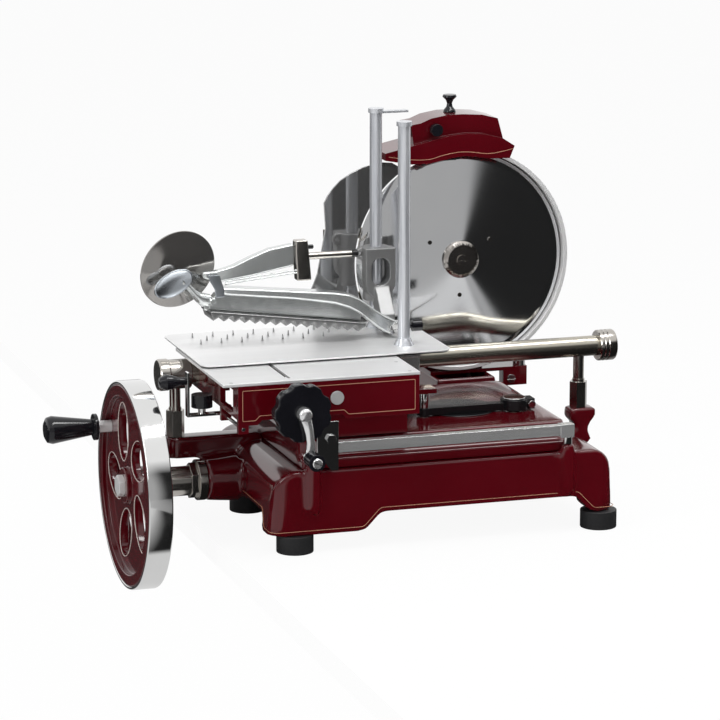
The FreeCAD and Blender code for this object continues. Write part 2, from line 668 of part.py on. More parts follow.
def flywheel():
    """Red casting: rim, dished web with oval windows and a hub on the shaft."""
    rim = ring("rim", "X", "band_inner", "rim_inner", "-wheel_face", "wheel_width",
               "shaft_y", "shaft_z")
    web = cylinder("web", "X", "rim_inner + 1", "-wheel_face + web_recess", "web_thickness",
                   "shaft_y", "shaft_z")
    hub = cylinder("hub", "X", "hub_radius", "-wheel_face", "wheel_width", "shaft_y", "shaft_z")
    windows = []
    step = 360 / size("window_count")
    for i in range(int(size("window_count"))):
        angle = size("grip_angle") + (i + 0.5) * step
        oval = doc.addObject("Part::Ellipse", "window_oval")
        oval.setExpression("MajorRadius", bound("window_long"))
        oval.setExpression("MinorRadius", bound("window_wide"))
        turn = FreeCAD.Rotation(V(1, 0, 0), angle + size("window_tilt"))
        oval.Placement = FreeCAD.Placement(V(), turn * FreeCAD.Rotation(V(1, 1, 1), 120))
        y, z = polar("shaft_y", "shaft_z", "window_centre", angle)
        put(oval, "-wheel_face - 1", y, z)
        window = doc.addObject("Part::Extrusion", "window")
        window.Base = oval
        window.DirMode = "Custom"
        window.Dir = V(1, 0, 0)
        window.setExpression("LengthFwd", bound("wheel_width + 2"))
        window.Solid = True
        windows.append(window)
    bore = cylinder("wheel_bore", "X", "shaft_radius + bore_gap", "-wheel_face - 1",
                    "wheel_width + 2", "shaft_y", "shaft_z")
    open_web = cut("web_open", web, *windows)
    node(cut("wheel", fuse("wheel_whole", rim, open_web, hub), bore), "flywheel_casting")
    node(ring("band", "X", "wheel_radius", "band_inner + bore_gap", "-wheel_face",
              "wheel_width", "shaft_y", "shaft_z"), "flywheel_band")


def flywheel_shaft():
    """The shaft through the boss, with the spacer sleeve that the wheel seats against."""
    shaft = cylinder("shaft_bar", "X", "shaft_radius", "-wheel_face",
                     "wheel_face + drive_x - gear_hub - 3", "shaft_y", "shaft_z")
    sleeve = cylinder("shaft_sleeve", "X", "sleeve_radius", "-wheel_back",
                      "wheel_back - facet_end - run_gap", "shaft_y", "shaft_z")
    node(fuse("shaft", shaft, sleeve), "main_shaft")
    nut = hexagon("hub_nut", "X", "hub_nut_radius", "-wheel_face - hub_nut_length",
                  "hub_nut_length", "shaft_y", "shaft_z")
    neck = cylinder("spindle_neck_bar", "X", "spindle_neck_radius", "-wheel_face - spindle_neck",
                    "spindle_neck + web_recess", "grip_y", "grip_z")
    spindle = cylinder("spindle", "X", "spindle_radius",
                       "-wheel_face - spindle_neck - grip_length + 8",
                       "spindle_neck + grip_length - 8", "grip_y", "grip_z")
    node(group("wheel_fittings", nut, fuse("grip_spindle", neck, spindle)), "flywheel_fittings")
    node(bevel("main_bevel_cone", "X", "drive_x", -1, "shaft_y", "shaft_z",
               "shaft_radius + bore_gap"), "drive_bevel")


def bevel(name, axis, apex, side, u, v, bore):
    """A 45 degree bevel gear blank whose cone points at the apex."""
    near = "gear_hub"
    far = "gear_radius"
    if side > 0:
        blank = cone(name + "_blank", axis, near + " - mesh_gap", far + " - mesh_gap",
                     "%s + %s" % (apex, near), "%s - %s" % (far, near), u, v)
        start = "%s + %s - 1" % (apex, near)
    else:
        blank = cone(name + "_blank", axis, far + " - mesh_gap", near + " - mesh_gap",
                     "%s - %s" % (apex, far), "%s - %s" % (far, near), u, v)
        start = "%s - %s - 1" % (apex, far)
    if bore is None:
        return blank
    hole = cylinder(name + "_bore", axis, bore, start, "%s - %s + 2" % (far, near), u, v)
    return cut(name, blank, hole)


def crank_grip():
    profile = [
        ("spindle_radius + bore_gap", "8 - run_gap"),
        ("0", "8 - run_gap"),
        ("0", "0"),
        ("grip_radius - 8", "0"),
        ("grip_radius - 2", "3"),
        ("grip_radius", "10"),
        ("grip_neck", "grip_length - grip_flange_width"),
        ("grip_flange", "grip_length - grip_flange_width"),
        ("grip_flange", "grip_length - run_gap"),
        ("spindle_radius + bore_gap", "grip_length - run_gap"),
    ]
    node(turned("grip_turned", "X", profile, "-wheel_face - spindle_neck - grip_length",
                "grip_y", "grip_z"), "crank_grip")


# ---------------------------------------------------------------- drive line under the deck


def cross_line():
    """The shaft that carries the drive from the flywheel shaft back to the chain."""
    shaft = cylinder("cross_bar", "Y", "cross_radius", "drive_y + gear_hub + 1",
                     "chain_y - drive_y", "drive_x", "shaft_z")
    near = bevel("near_bevel", "Y", "drive_y", 1, "drive_x", "shaft_z", None)
    far = bevel("far_bevel", "Y", "shaft_y", 1, "drive_x", "shaft_z", None)
    wheel = cylinder("low_sprocket_disc", "Y", "low_sprocket", "chain_y - chain_width / 2",
                     "chain_width", "drive_x", "shaft_z")
    node(fuse("cross_whole", shaft, near, far, wheel), "cross_shaft")


def chain_band(name, grow, start, length):
    """The shape a belt fills around both sprockets, grown by a distance."""
    low = "(low_sprocket + %s)" % grow
    high = "(high_sprocket + %s)" % grow
    low_z = "shaft_z + %s * chain_lean" % low
    high_z = "blade_z + %s * chain_lean" % high
    sides = prism(
        name + "_sides", "XZ",
        [
            ("drive_x - %s * chain_face" % low, low_z),
            ("drive_x + %s * chain_face" % low, low_z),
            ("drive_x + %s * chain_face" % high, high_z),
            ("drive_x - %s * chain_face" % high, high_z),
        ],
        start, length,
    )
    bottom = cylinder(name + "_bottom", "Y", low, start, length, "drive_x", "shaft_z")
    top = cylinder(name + "_top", "Y", high, start, length, "drive_x", "blade_z")
    return fuse(name, sides, bottom, top)


def chain():
    start = "chain_y - chain_width / 2"
    outside = chain_band("chain_outside", "run_gap + chain_thickness", start, "chain_width")
    inside = chain_band("chain_inside", "run_gap", start + " - 1", "chain_width + 2")
    node(cut("chain_loop", outside, inside), "drive_chain")


def arm_on_deck():
    """The crank arm that swings over the deck and drives the carriage."""
    bar = box("arm_bar", "drive_x - arm_reach", "arm_reach", "drive_y - arm_width / 2",
              "arm_width", "arm_bottom", "arm_thickness")
    hub = cylinder("arm_hub", "Z", "arm_hub_radius", "arm_bottom", "arm_hub_height",
                   "drive_x", "drive_y")
    clamp = box("arm_clamp_block", "drive_x", "arm_clamp", "drive_y - arm_width / 2 - 3",
                "arm_width + 6", "arm_bottom", "arm_hub_height")
    eye = cylinder("arm_eye_disc", "Z", "arm_eye", "arm_bottom", "arm_thickness",
                   "drive_x - arm_reach", "drive_y")
    bore = cylinder("arm_bore", "Z", "drive_shaft_radius + bore_gap", "arm_bottom - 1",
                    "arm_hub_height + 2", "drive_x", "drive_y")
    eye_bore = cylinder("eye_bore", "Z", "drive_pin_radius + bore_gap", "arm_bottom - 1",
                        "arm_thickness + 2", "drive_x - arm_reach", "drive_y")
    slit = box("clamp_slit", "drive_x", "arm_clamp + 1", "drive_y - 1", "2",
               "arm_bottom - 1", "arm_hub_height + 2")
    node(cut("arm_cut", fuse("arm_whole", bar, hub, clamp, eye), bore, eye_bore, slit),
         "drive_arm")
    upright = cylinder("upright", "Z", "drive_shaft_radius", "shaft_z + gear_hub + 1",
                       "hub_top - shaft_z - gear_hub - 1", "drive_x", "drive_y")
    gear = bevel("upright_bevel", "Z", "shaft_z", 1, "drive_x", "drive_y", None)
    node(fuse("upright_whole", upright, gear), "drive_shaft")
    cap = cylinder("hub_cap", "Z", "arm_hub_radius - 4", "hub_top", "hub_cap_height",
                   "drive_x", "drive_y")
    screw = cylinder("clamp_screw", "Y", "5", "drive_y - arm_width / 2 - 7", "4",
                     "drive_x + arm_hub_radius + 2", "arm_bottom + arm_hub_height / 2")
    pin = cylinder("drive_pin", "Z", "drive_pin_radius", "arm_bottom", "arm_thickness + 1",
                   "drive_x - arm_reach", "drive_y")
    nut = cylinder("drive_nut", "Z", "drive_nut_radius", "arm_top", "drive_nut_length",
                   "drive_x - arm_reach", "drive_y")
    node(group("arm_fittings", cap, screw, fuse("drive_stud", pin, nut)), "drive_arm_fittings")
    node(cylinder("cover_disc", "Z", "cover_radius", "deck_height", "cover_thickness",
                  "cover_x", "0"), "gear_cover")


# ---------------------------------------------------------------- carriage


def carriage():
    """The sliding casting: front plate, side walls, bar bearings and the drive lug."""
    height = "plate_z - side_bottom"
    inner_front = "-plate_front + casting_wall"
    depth = "plate_front + plate_back - casting_wall"
    length = "front_left - plate_x_right - 1"
    front = prism(
        "carriage_front", "XZ",
        [
            ("-front_left", "front_bottom"),
            ("-notch_left", "front_bottom"),
            ("-notch_left + notch_height", "front_bottom + notch_height"),
            ("-notch_right - notch_height", "front_bottom + notch_height"),
            ("-notch_right", "front_bottom"),
            ("-plate_x_right - 1", "front_bottom"),
            ("-plate_x_right - 1", "plate_z"),
            ("-front_left", "plate_z"),
        ],
        "-plate_front", "casting_wall",
    )
    left = box("carriage_left", "-front_left", "casting_wall", inner_front, depth,
               "side_bottom", height)
    right = box("carriage_right", "-plate_x_right - 1 - casting_wall", "casting_wall",
                inner_front, depth, "side_bottom", height)
    back = box("carriage_back", "-front_left", length, "plate_back - casting_wall",
               "casting_wall", "side_bottom", height)
    bearings = []
    for name, x in (
        ("left", "-front_left + casting_wall - 1"),
        ("right", "-plate_x_right - casting_wall - bearing_length"),
    ):
        bearings.append(box("bar_bearing_" + name, x, "bearing_length", "bar_y - bearing_side",
                            "2 * bearing_side", "bearing_bottom", "plate_z - bearing_bottom"))
    cross = box("carriage_cross", "-front_left + 1", length + " - 2", "feed_end - 15",
                "casting_wall + 5", "plate_z - 13", "13")
    screw_seat = box("screw_seat", "feed_x - 21", "42", "feed_end - 15", "casting_wall + 5",
                     "feed_z - 13.5", "plate_z - feed_z + 13.5")
    skirt = box("carriage_skirt", "-rib_left", "rib_left - rib_right",
                inner_front + " - 2", "rib_thickness + 2", "rib_bottom",
                "front_bottom - rib_bottom + 14")
    lug = box("drive_lug", "-plate_x_right - 6", "lug_reach", "drive_y - 15", "30",
              "lug_bottom", "lug_thickness")
    pins = []
    for name, y in (("front", "-plate_front"), ("back", "lever_y - lever_width / 2 - 13")):
        pins.append(box("lever_lug_" + name, "lever_pivot_x - 7", "14", y, "casting_wall",
                        "lever_pivot_z - 6", "side_bottom - lever_pivot_z + 8"))
    axle = cylinder("roller_axle", "Y", "axle_radius", inner_front, "rib_thickness + 17",
                    "roller_x", "roller_z")
    washer = cylinder("roller_washer", "Y", "axle_radius + 3",
                      inner_front + " + rib_thickness + 2 * run_gap + roller_width + 1", "3",
                      "roller_x", "roller_z")
    whole = fuse("carriage_whole", front, left, right, back, cross, screw_seat, skirt, lug,
                 axle, washer, *bearings, *pins)
    holes = [
        box("side_window", "-front_left - 1", "casting_wall + 2", "-window_front",
            "window_front - window_back", "window_bottom", "window_top - window_bottom"),
        cylinder("bar_bore_hole", "X", "bar_bore", "-front_left - 1", "front_left",
                 "bar_y", "bar_z"),
        cylinder("screw_bore", "Y", "feed_screw_radius + bore_gap", "-plate_front - 1",
                 "plate_front + feed_end", "feed_x", "feed_z"),
        cylinder("lever_bore", "Y", "lever_rod + bore_gap", "-plate_front - 1", "plate_front",
                 "lever_pivot_x", "lever_pivot_z"),
    ]
    node(cut("carriage_body", whole, *holes), "carriage_casting")
    plate = box("plate_blank", "-plate_x_left", "plate_x_left - plate_x_right",
                "-plate_front", "plate_front + plate_back", "plate_z", "lower_plate")
    slot = box("nut_slot", "feed_x - feed_nut_neck / 2 - 0.5", "feed_nut_neck + 1",
               "feed_nut_y - feed_back - 1", "feed_nut_length + feed_back + feed_on + 2",
               "plate_z - 1", "lower_plate + 2")
    node(cut("plate_slotted", plate, slot), "carriage_plate")
    node(cylinder("button", "Y", "button_radius", "-plate_front - 3", "3",
                  "button_x", "button_z"), "carriage_button")
    node(ring("roller", "Y", "roller_radius", "axle_radius + bore_gap",
              inner_front + " + rib_thickness + run_gap + 1", "roller_width",
              "roller_x", "roller_z"), "front_roller")


# ---------------------------------------------------------------- meat table


def table():
    left = "-table_left"
    right = "table_right"
    node(prism(
        "table_plate", "XY",
        [(left, "-table_front"), (right, "-table_front"), (right, "table_back"),
         (left, "table_back")],
        "table_bottom", "table_thickness", {"table_round": [0, 1, 2, 3]},
    ), "meat_table")
    pins = []
    for row in range(3):
        for column in range(int(size("pin_columns"))):
            shift = column + 0.5 * (row % 2)
            pins.append(cone("pin", "Z", "pin_radius", "pin_radius / 3", "table_top",
                             "pin_height", "-pin_left + %.1f * pin_pitch" % shift,
                             "pin_rows_y - %d * pin_row_pitch" % row))
    node(group("pins", *pins), "table_pins")
    block = box("block_bar", "-block_left", "block_left", "5", "155", "block_bottom",
                "table_bottom - block_bottom")
    leg = box("block_leg", "-block_left", "block_left", "8", "24", "block_leg_bottom",
              "block_bottom - block_leg_bottom + 1")
    body = box("nut_body", "feed_x - feed_nut_width / 2", "feed_nut_width", "feed_nut_y",
               "feed_nut_length", "feed_z - 13.5", "plate_z - run_gap - feed_z + 13.5")
    neck = box("nut_neck", "feed_x - feed_nut_neck / 2", "feed_nut_neck", "feed_nut_y",
               "feed_nut_length", "plate_z - 2", "table_bottom - plate_z + 2")
    bore = cylinder("nut_bore", "Y", "feed_screw_radius + bore_gap", "feed_nut_y - 1",
                    "feed_nut_length + 2", "feed_x", "feed_z")
    nut = cut("feed_nut", fuse("nut_whole", body, neck), bore)
    node(group("block_and_nut", fuse("block_whole", block, leg), nut), "column_block")
    columns = []
    for name, y in (("front", "column_front_y"), ("back", "column_back_y")):
        foot = cone("column_foot_" + name, "Z", "column_foot", "column_radius + 1", "table_top",
                    "column_foot_height", "column_x", y)
        bar = cylinder("column_bar_" + name, "Z", "column_radius", "table_top",
                       "column_top - table_top", "column_x", y)
        cap = cylinder("column_cap_" + name, "Z", "column_cap", "column_top",
                       "column_cap_height", "column_x", y)
        pieces = [foot, bar, cap]
        if name == "back":
            pieces.append(box("column_finger", "column_x", "column_cap + finger_length",
                              "%s - 6" % y, "12", "column_top - 1", "3"))
        columns.append(fuse("column_" + name, *pieces))
    node(group("column_pair", *columns), "columns")
    stem = cylinder("knob_stem_bar", "X", "3.5", "column_x + column_radius - 3", "8",
                    "column_front_y", "column_knob_z")
    grip = cylinder("knob_grip", "X", "column_knob_radius", "column_x + column_radius + 3",
                    "column_knob_length", "column_front_y", "column_knob_z")
    seat = cylinder("knob_seat", "Z", "column_radius + bore_gap", "table_top", "60",
                    "column_x", "column_front_y")
    node(cut("column_knob_cut", fuse("column_knob_whole", stem, grip), seat), "column_knob")


def feed():
    """The screw under the table, its scalloped wheel and the small crank in front."""
    start = "-feed_wheel_back - feed_wheel_width"
    disc = cylinder("wheel_disc", "Y", "feed_wheel_radius", start, "feed_wheel_width",
                    "feed_x", "feed_z")
    bites = []
    count = int(size("scallops"))
    for i in range(count):
        x, z = polar("feed_x", "feed_z", "feed_wheel_radius + scallop_radius - scallop_depth",
                     360 * i / count)
        bites.append(cylinder("scallop", "Y", "scallop_radius", start + " - 1",
                              "feed_wheel_width + 2", x, z))
    bites.append(cylinder("wheel_hole", "Y", "feed_screw_radius + bore_gap", start + " - 1",
                          "feed_wheel_width + 2", "feed_x", "feed_z"))
    node(cut("feed_disc", disc, *bites), "feed_wheel")
    arm_y = start + " - feed_hub_length - feed_arm_thickness"
    screw = cylinder("screw_bar", "Y", "feed_screw_radius", arm_y,
                     "feed_wheel_back + feed_wheel_width + feed_hub_length + feed_arm_thickness"
                     " + feed_end", "feed_x", "feed_z")
    collar = cylinder("screw_collar", "Y", "feed_screw_radius + 4", "-feed_wheel_back",
                      "feed_wheel_back - plate_front - run_gap", "feed_x", "feed_z")
    node(fuse("screw_whole", screw, collar), "feed_screw")
    end_x, end_z = polar("feed_x", "feed_z", "feed_arm_reach", -90 + size("feed_arm_tilt"))
    half = "feed_arm_width / 2"
    bar = prism(
        "crank_bar", "XZ",
        [("feed_x - " + half, "feed_z"), ("feed_x + " + half, "feed_z"),
         (end_x + " + " + half, end_z), (end_x + " - " + half, end_z)],
        arm_y, "feed_arm_thickness",
    )
    hub = cylinder("crank_hub", "Y", "feed_hub_radius", arm_y,
                   "feed_arm_thickness + feed_hub_length", "feed_x", "feed_z")
    end = cylinder("crank_end", "Y", half, arm_y, "feed_arm_thickness", end_x, end_z)
    spindle = cylinder("crank_spindle", "Y", "4", arm_y + " - feed_grip_length",
                       "feed_grip_length + 1", end_x, end_z)
    head = cylinder("crank_screw", "Y", "6.5", arm_y + " - feed_grip_length - 3", "3",
                    end_x, end_z)
    slot = box("crank_screw_slot", end_x + " - 7", "14",
               arm_y + " - feed_grip_length - 4", "2.2", end_z + " - 0.8", "1.6")
    hole = cylinder("crank_hole", "Y", "feed_screw_radius + bore_gap", arm_y + " - 1",
                    "feed_arm_thickness + feed_hub_length + 2", "feed_x", "feed_z")
    node(cut("crank_cut", fuse("crank_whole", bar, hub, end, spindle, head), slot, hole),
         "feed_crank_arm")
    node(ring("grip_barrel", "Y", "feed_grip_radius", "4 + bore_gap",
              arm_y + " - feed_grip_length + run_gap", "feed_grip_length - 2 * run_gap",
              end_x, end_z), "feed_grip")


# ---------------------------------------------------------------- press


def carrier():
    """The sleeve on the back column with the arm that holds the press pivot."""
    sleeve = cylinder("sleeve", "Z", "carrier_radius", "carrier_bottom",
                      "carrier_top - carrier_bottom", "column_x", "column_back_y")
    web = prism(
        "carrier_web", "YZ",
        [
            ("press_back + run_gap", "pivot_z - 9"),
            ("press_back + run_gap + 17", "pivot_z - 9"),
            ("column_back_y - 8", "carrier_bottom + 1"),
            ("column_back_y - 8", "carrier_bottom + 30"),
            ("column_back_y - carrier_radius + 1", "carrier_bottom + 30"),
            ("press_back + run_gap", "pivot_z + 13"),
        ],
        "pivot_x - 10", "20",
    )
    face = box("carrier_face", "column_x - carrier_half", "2 * carrier_half",
               "column_back_y - carrier_front", "carrier_front - 3",
               "carrier_bottom + carrier_half + 5", "carrier_top - carrier_bottom - carrier_half - 5")
    chin = cylinder("carrier_chin", "Y", "carrier_half", "column_back_y - carrier_front",
                    "carrier_front - 3", "column_x", "carrier_bottom + carrier_half + 5")
    boss = cylinder("pivot_seat", "Y", "pivot_boss", "press_back + run_gap", "15",
                    "pivot_x", "pivot_z")
    ear = cylinder("ear_disc", "Y", "ear_radius", "column_back_y - 5", "10",
                   "column_x - carrier_radius - 2", "carrier_top - ear_radius")
    bore = cylinder("carrier_hole", "Z", "carrier_bore", "table_top",
                    "column_top - table_top", "column_x", "column_back_y")
    ear_hole = cylinder("ear_hole", "Y", "3", "column_back_y - 6", "12",
                        "column_x - carrier_radius - 5", "carrier_top - ear_radius")
    middle = "(carrier_bottom + carrier_top) / 2"
    slot = [
        cylinder("slot_low", "Y", "carrier_window", "column_back_y - 30", "30", "column_x",
                 middle + " - 1"),
        cylinder("slot_high", "Y", "carrier_window", "column_back_y - 30", "30", "column_x",
                 middle + " + 11"),
        box("slot_middle", "column_x - carrier_window", "2 * carrier_window",
            "column_back_y - 30", "30", middle + " - 1", "12"),
    ]
    pin_hole = cylinder("pin_hole", "Y", "pivot_pin + bore_gap", "press_back - 1", "18",
                        "pivot_x", "pivot_z")
    node(cut("carrier_cut", fuse("carrier_whole", sleeve, web, face, chin, boss, ear), bore, ear_hole,
             pin_hole, *slot), "press_carrier")
    pin = cylinder("pivot_bar", "Y", "pivot_pin", "press_front - 1",
                   "press_width + 15", "pivot_x", "pivot_z")
    head = cylinder("pivot_screw_head", "Y", "pivot_head",
                    "press_front - run_gap - pivot_head_length", "pivot_head_length",
                    "pivot_x", "pivot_z")
    slit = box("pivot_slit", "pivot_x - pivot_head", "2 * pivot_head",
               "press_front - run_gap - pivot_head_length - 1", "3", "pivot_z - 1", "2")
    node(cut("pivot_screw_cut", fuse("pivot_screw_whole", pin, head), slit), "press_pivot")


def press():
    """Everything that swings on the pivot: arm, toothed foot, linkage, handle and guard."""
    corner = {
        "low left": ("-comb_left", "comb_height"),
        "low right": ("-comb_left + comb_run", "comb_height - comb_fall"),
        "end": ("-262", "319"),
        "strap": ("-250", "318"),
        "block left": ("-158", "308"),
        "block right": ("-128", "305"),
    }
    arm = prism(
        "arm_plate", "XZ",
        [
            corner["low left"], corner["low right"],
            ("pivot_x - 4", "pivot_z - 9"), ("pivot_x + 9", "pivot_z + 3"),
            ("pivot_x - 9", "pivot_z + 16"), ("-39", "272"), ("-58", "289"), ("-72", "300"),
            corner["block right"], corner["block left"], corner["strap"], corner["end"],
        ],
        "press_front", "press_width",
    )
    boss = cylinder("arm_boss", "Y", "pivot_boss", "press_front", "press_width",
                    "pivot_x", "pivot_z")
    bore = cylinder("arm_pivot_hole", "Y", "pivot_pin + bore_gap", "press_front - 1",
                    "press_width + 2", "pivot_x", "pivot_z")
    arm_whole = cut("press_arm_cut", fuse("press_arm_whole", arm, boss), bore)
    node(arm_whole, "press_arm")

    count = int(size("teeth"))
    lower = []
    for i in range(count, 0, -1):
        root = i / count
        point = (i - 0.8) / count
        lower.append(("-comb_left + comb_run * %.6f" % root,
                      "comb_height - comb_fall * %.6f - foot_strip" % root))
        lower.append(("-comb_left + comb_run * %.6f" % point,
                      "comb_height - comb_fall * %.6f - foot_strip - tooth_depth" % point))
    lower.append(("-comb_left", "comb_height - foot_strip"))
    node(prism("foot_comb", "XZ", [corner["low left"]] + [corner["low right"]] + lower,
               "press_y - foot_width / 2", "foot_width"), "press_foot")

    frame = prism(
        "link_frame", "XZ",
        [
            corner["strap"], corner["end"], ("-271", "323"), ("-282", "332"), ("-282", "340"),
            ("-264", "341"), ("-240", "347"), ("-217", "357"), ("-190", "367"),
            ("-156", "372"), ("-154", "376"), ("-137", "376"), ("-132", "322"),
            ("-152", "321"), ("-154", "342"), ("-217", "331"), ("-256", "326"),
        ],
        "press_y - link_thickness / 2", "link_thickness",
    )
    tie = prism("link_tie", "XZ", [("-252", "323"), ("-156", "333"), ("-156", "337"),
                                   ("-252", "327")],
                "press_y - link_thickness / 2", "link_thickness")
    stop = cylinder("stop_bar", "X", "stop_rod", "-137", "64", "press_y", "353")
    tip = cylinder("stop_tip", "X", "stop_rod + 1", "-73", "8", "press_y", "353")
    node(fuse("links_whole", frame, tie, stop, tip), "press_links")

    oval = doc.addObject("Part::Ellipse", "handle_oval")
    oval.setExpression("MajorRadius", bound("handle_long"))
    oval.setExpression("MinorRadius", bound("handle_wide"))
    oval.Placement = FreeCAD.Placement(
        V(), FreeCAD.Rotation(V(0, 1, 0), -size("handle_tilt")) * FreeCAD.Rotation(V(1, 0, 0), 90)
    )
    put(oval, "-handle_x", "press_y + handle_thickness / 2", "handle_z")
    paddle = doc.addObject("Part::Extrusion", "handle_paddle")
    paddle.Base = oval
    paddle.DirMode = "Custom"
    paddle.Dir = V(0, -1, 0)
    paddle.setExpression("LengthFwd", bound("handle_thickness"))
    paddle.Solid = True
    neck = prism(
        "handle_neck", "XZ",
        [
            ("-313", "330"), ("-297", "311"), ("-292", "300"), ("-289", "290"),
            ("-262", "290"), ("-262", "312"), ("-284", "320"), ("-299", "336"),
        ],
        "press_y - 7", "14",
    )
    trimmed = cut("handle_cut", fuse("handle_whole", paddle, neck), arm_whole)
    node(trimmed, "press_handle")

    guard_y = "press_back + guard_gap - guard_thickness / 2"
    disc = cylinder("guard_disc", "Y", "guard_radius", guard_y, "guard_thickness",
                    "-308", "340")
    spacer = cylinder("guard_spacer", "Y", "6", "press_back",
                      "guard_gap - guard_thickness / 2 + 1", "-288", "328")
    strip = prism("guard_strip", "XZ", [("-256", "300"), ("-256", "315"), ("-284", "338"),
                                        ("-296", "326")], "press_back", "3")
    node(fuse("guard_whole", disc, spacer, strip), "hand_guard")


# ---------------------------------------------------------------- release lever


def release_lever():
    front = "lever_y - lever_width / 2"
    upright = box("lever_upright", "-lever_left", "lever_strip", front, "lever_width",
                  "lever_pivot_z - lever_strip / 2",
                  "lever_top - lever_pivot_z + lever_strip / 2")
    bottom = box("lever_bottom", "-lever_left", "lever_left + lever_pivot_x", front,
                 "lever_width", "lever_pivot_z - lever_strip / 2", "lever_strip")
    bar = cylinder("lever_bar", "Y", "lever_rod", "-plate_front",
                   "plate_front + lever_y + lever_width / 2", "lever_pivot_x", "lever_pivot_z")
    stem = cylinder("lever_stem", "Z", "knob_stem", "lever_pivot_z",
                    "knob_bottom - run_gap - lever_pivot_z", "knob_x", "lever_y")
    pin = cylinder("lever_pin", "Z", "knob_stem - 2", "lever_pivot_z",
                   "knob_bottom + 11 - lever_pivot_z", "knob_x", "lever_y")
    node(fuse("lever_whole", upright, bottom, bar, stem, pin), "release_frame")
    node(turned(
        "pear", "X",
        [
            ("0", "0"), ("pear_radius * 0.6", "2"), ("pear_radius", "pear_radius"),
            ("pear_radius * 0.85", "pear_radius * 1.8"), ("pear_neck", "pear_length - 8"),
            ("pear_neck", "pear_length"), ("0", "pear_length"),
        ],
        "-lever_left - pear_length", "lever_y", "pear_z",
    ), "release_handle")
    knob = cylinder("lock_disc", "Z", "knob_radius", "knob_bottom", "knob_height",
                    "knob_x", "lever_y")
    hole = cylinder("lock_hole", "Z", "knob_stem - 2 + bore_gap", "knob_bottom - 1",
                    "12 + run_gap", "knob_x", "lever_y")
    node(cut("lock_cut", knob, hole), "lock_knob")


# ---------------------------------------------------------------- blade and its head


def blade():
    node(turned(
        "blade_disc", "Y",
        [
            ("0", "0"), ("blade_radius - bevel_width", "0"),
            ("blade_radius", "blade_thickness - edge_thickness"),
            ("blade_radius", "blade_thickness"), ("0", "blade_thickness"),
        ],
        "blade_y", "drive_x", "blade_z",
    ), "blade")
    cap = turned(
        "cap_dome", "Y",
        [
            ("0", "0"), ("blade_cap_radius - 6", "0"), ("blade_cap_radius", "4"),
            ("blade_cap_radius", "blade_cap_depth"), ("0", "blade_cap_depth"),
        ],
        "blade_y - blade_cap_depth", "drive_x", "blade_z",
    )
    screw = cylinder("cap_screw", "Y", "blade_screw_radius", "blade_y - blade_cap_depth - 2",
                     "2", "drive_x", "blade_z")
    slot = box("cap_screw_slot", "drive_x - 9", "18", "blade_y - blade_cap_depth - 3", "2.2",
               "blade_z - 0.9", "1.8")
    screws = []
    for i in range(3):
        x, z = polar("drive_x", "blade_z", "blade_rivet_orbit", 30 + 120 * i)
        screws.append(cylinder("blade_screw", "Y", "blade_rivet_radius", "blade_y - 1.5",
                               "1.5", x, z))
    node(group("cap_and_screws", cap, cut("cap_screw_cut", screw, slot), *screws), "blade_cap")
    shaft = cylinder("blade_axle", "Y", "blade_shaft_radius", "blade_back",
                     "chain_y + 8 - blade_back", "drive_x", "blade_z")
    wheel = cylinder("high_sprocket_disc", "Y", "high_sprocket", "chain_y - chain_width / 2",
                     "chain_width", "drive_x", "blade_z")
    node(fuse("blade_shaft_whole", shaft, wheel), "blade_shaft")


def sector(name, reach, first, last, start, length):
    """A wedge about the blade axis between two angles."""
    points = [("drive_x", "blade_z")]
    for step in range(4):
        angle = first + (last - first) * step / 3
        points.append(polar("drive_x", "blade_z", reach, angle))
    return prism(name, "XZ", points, start, length)


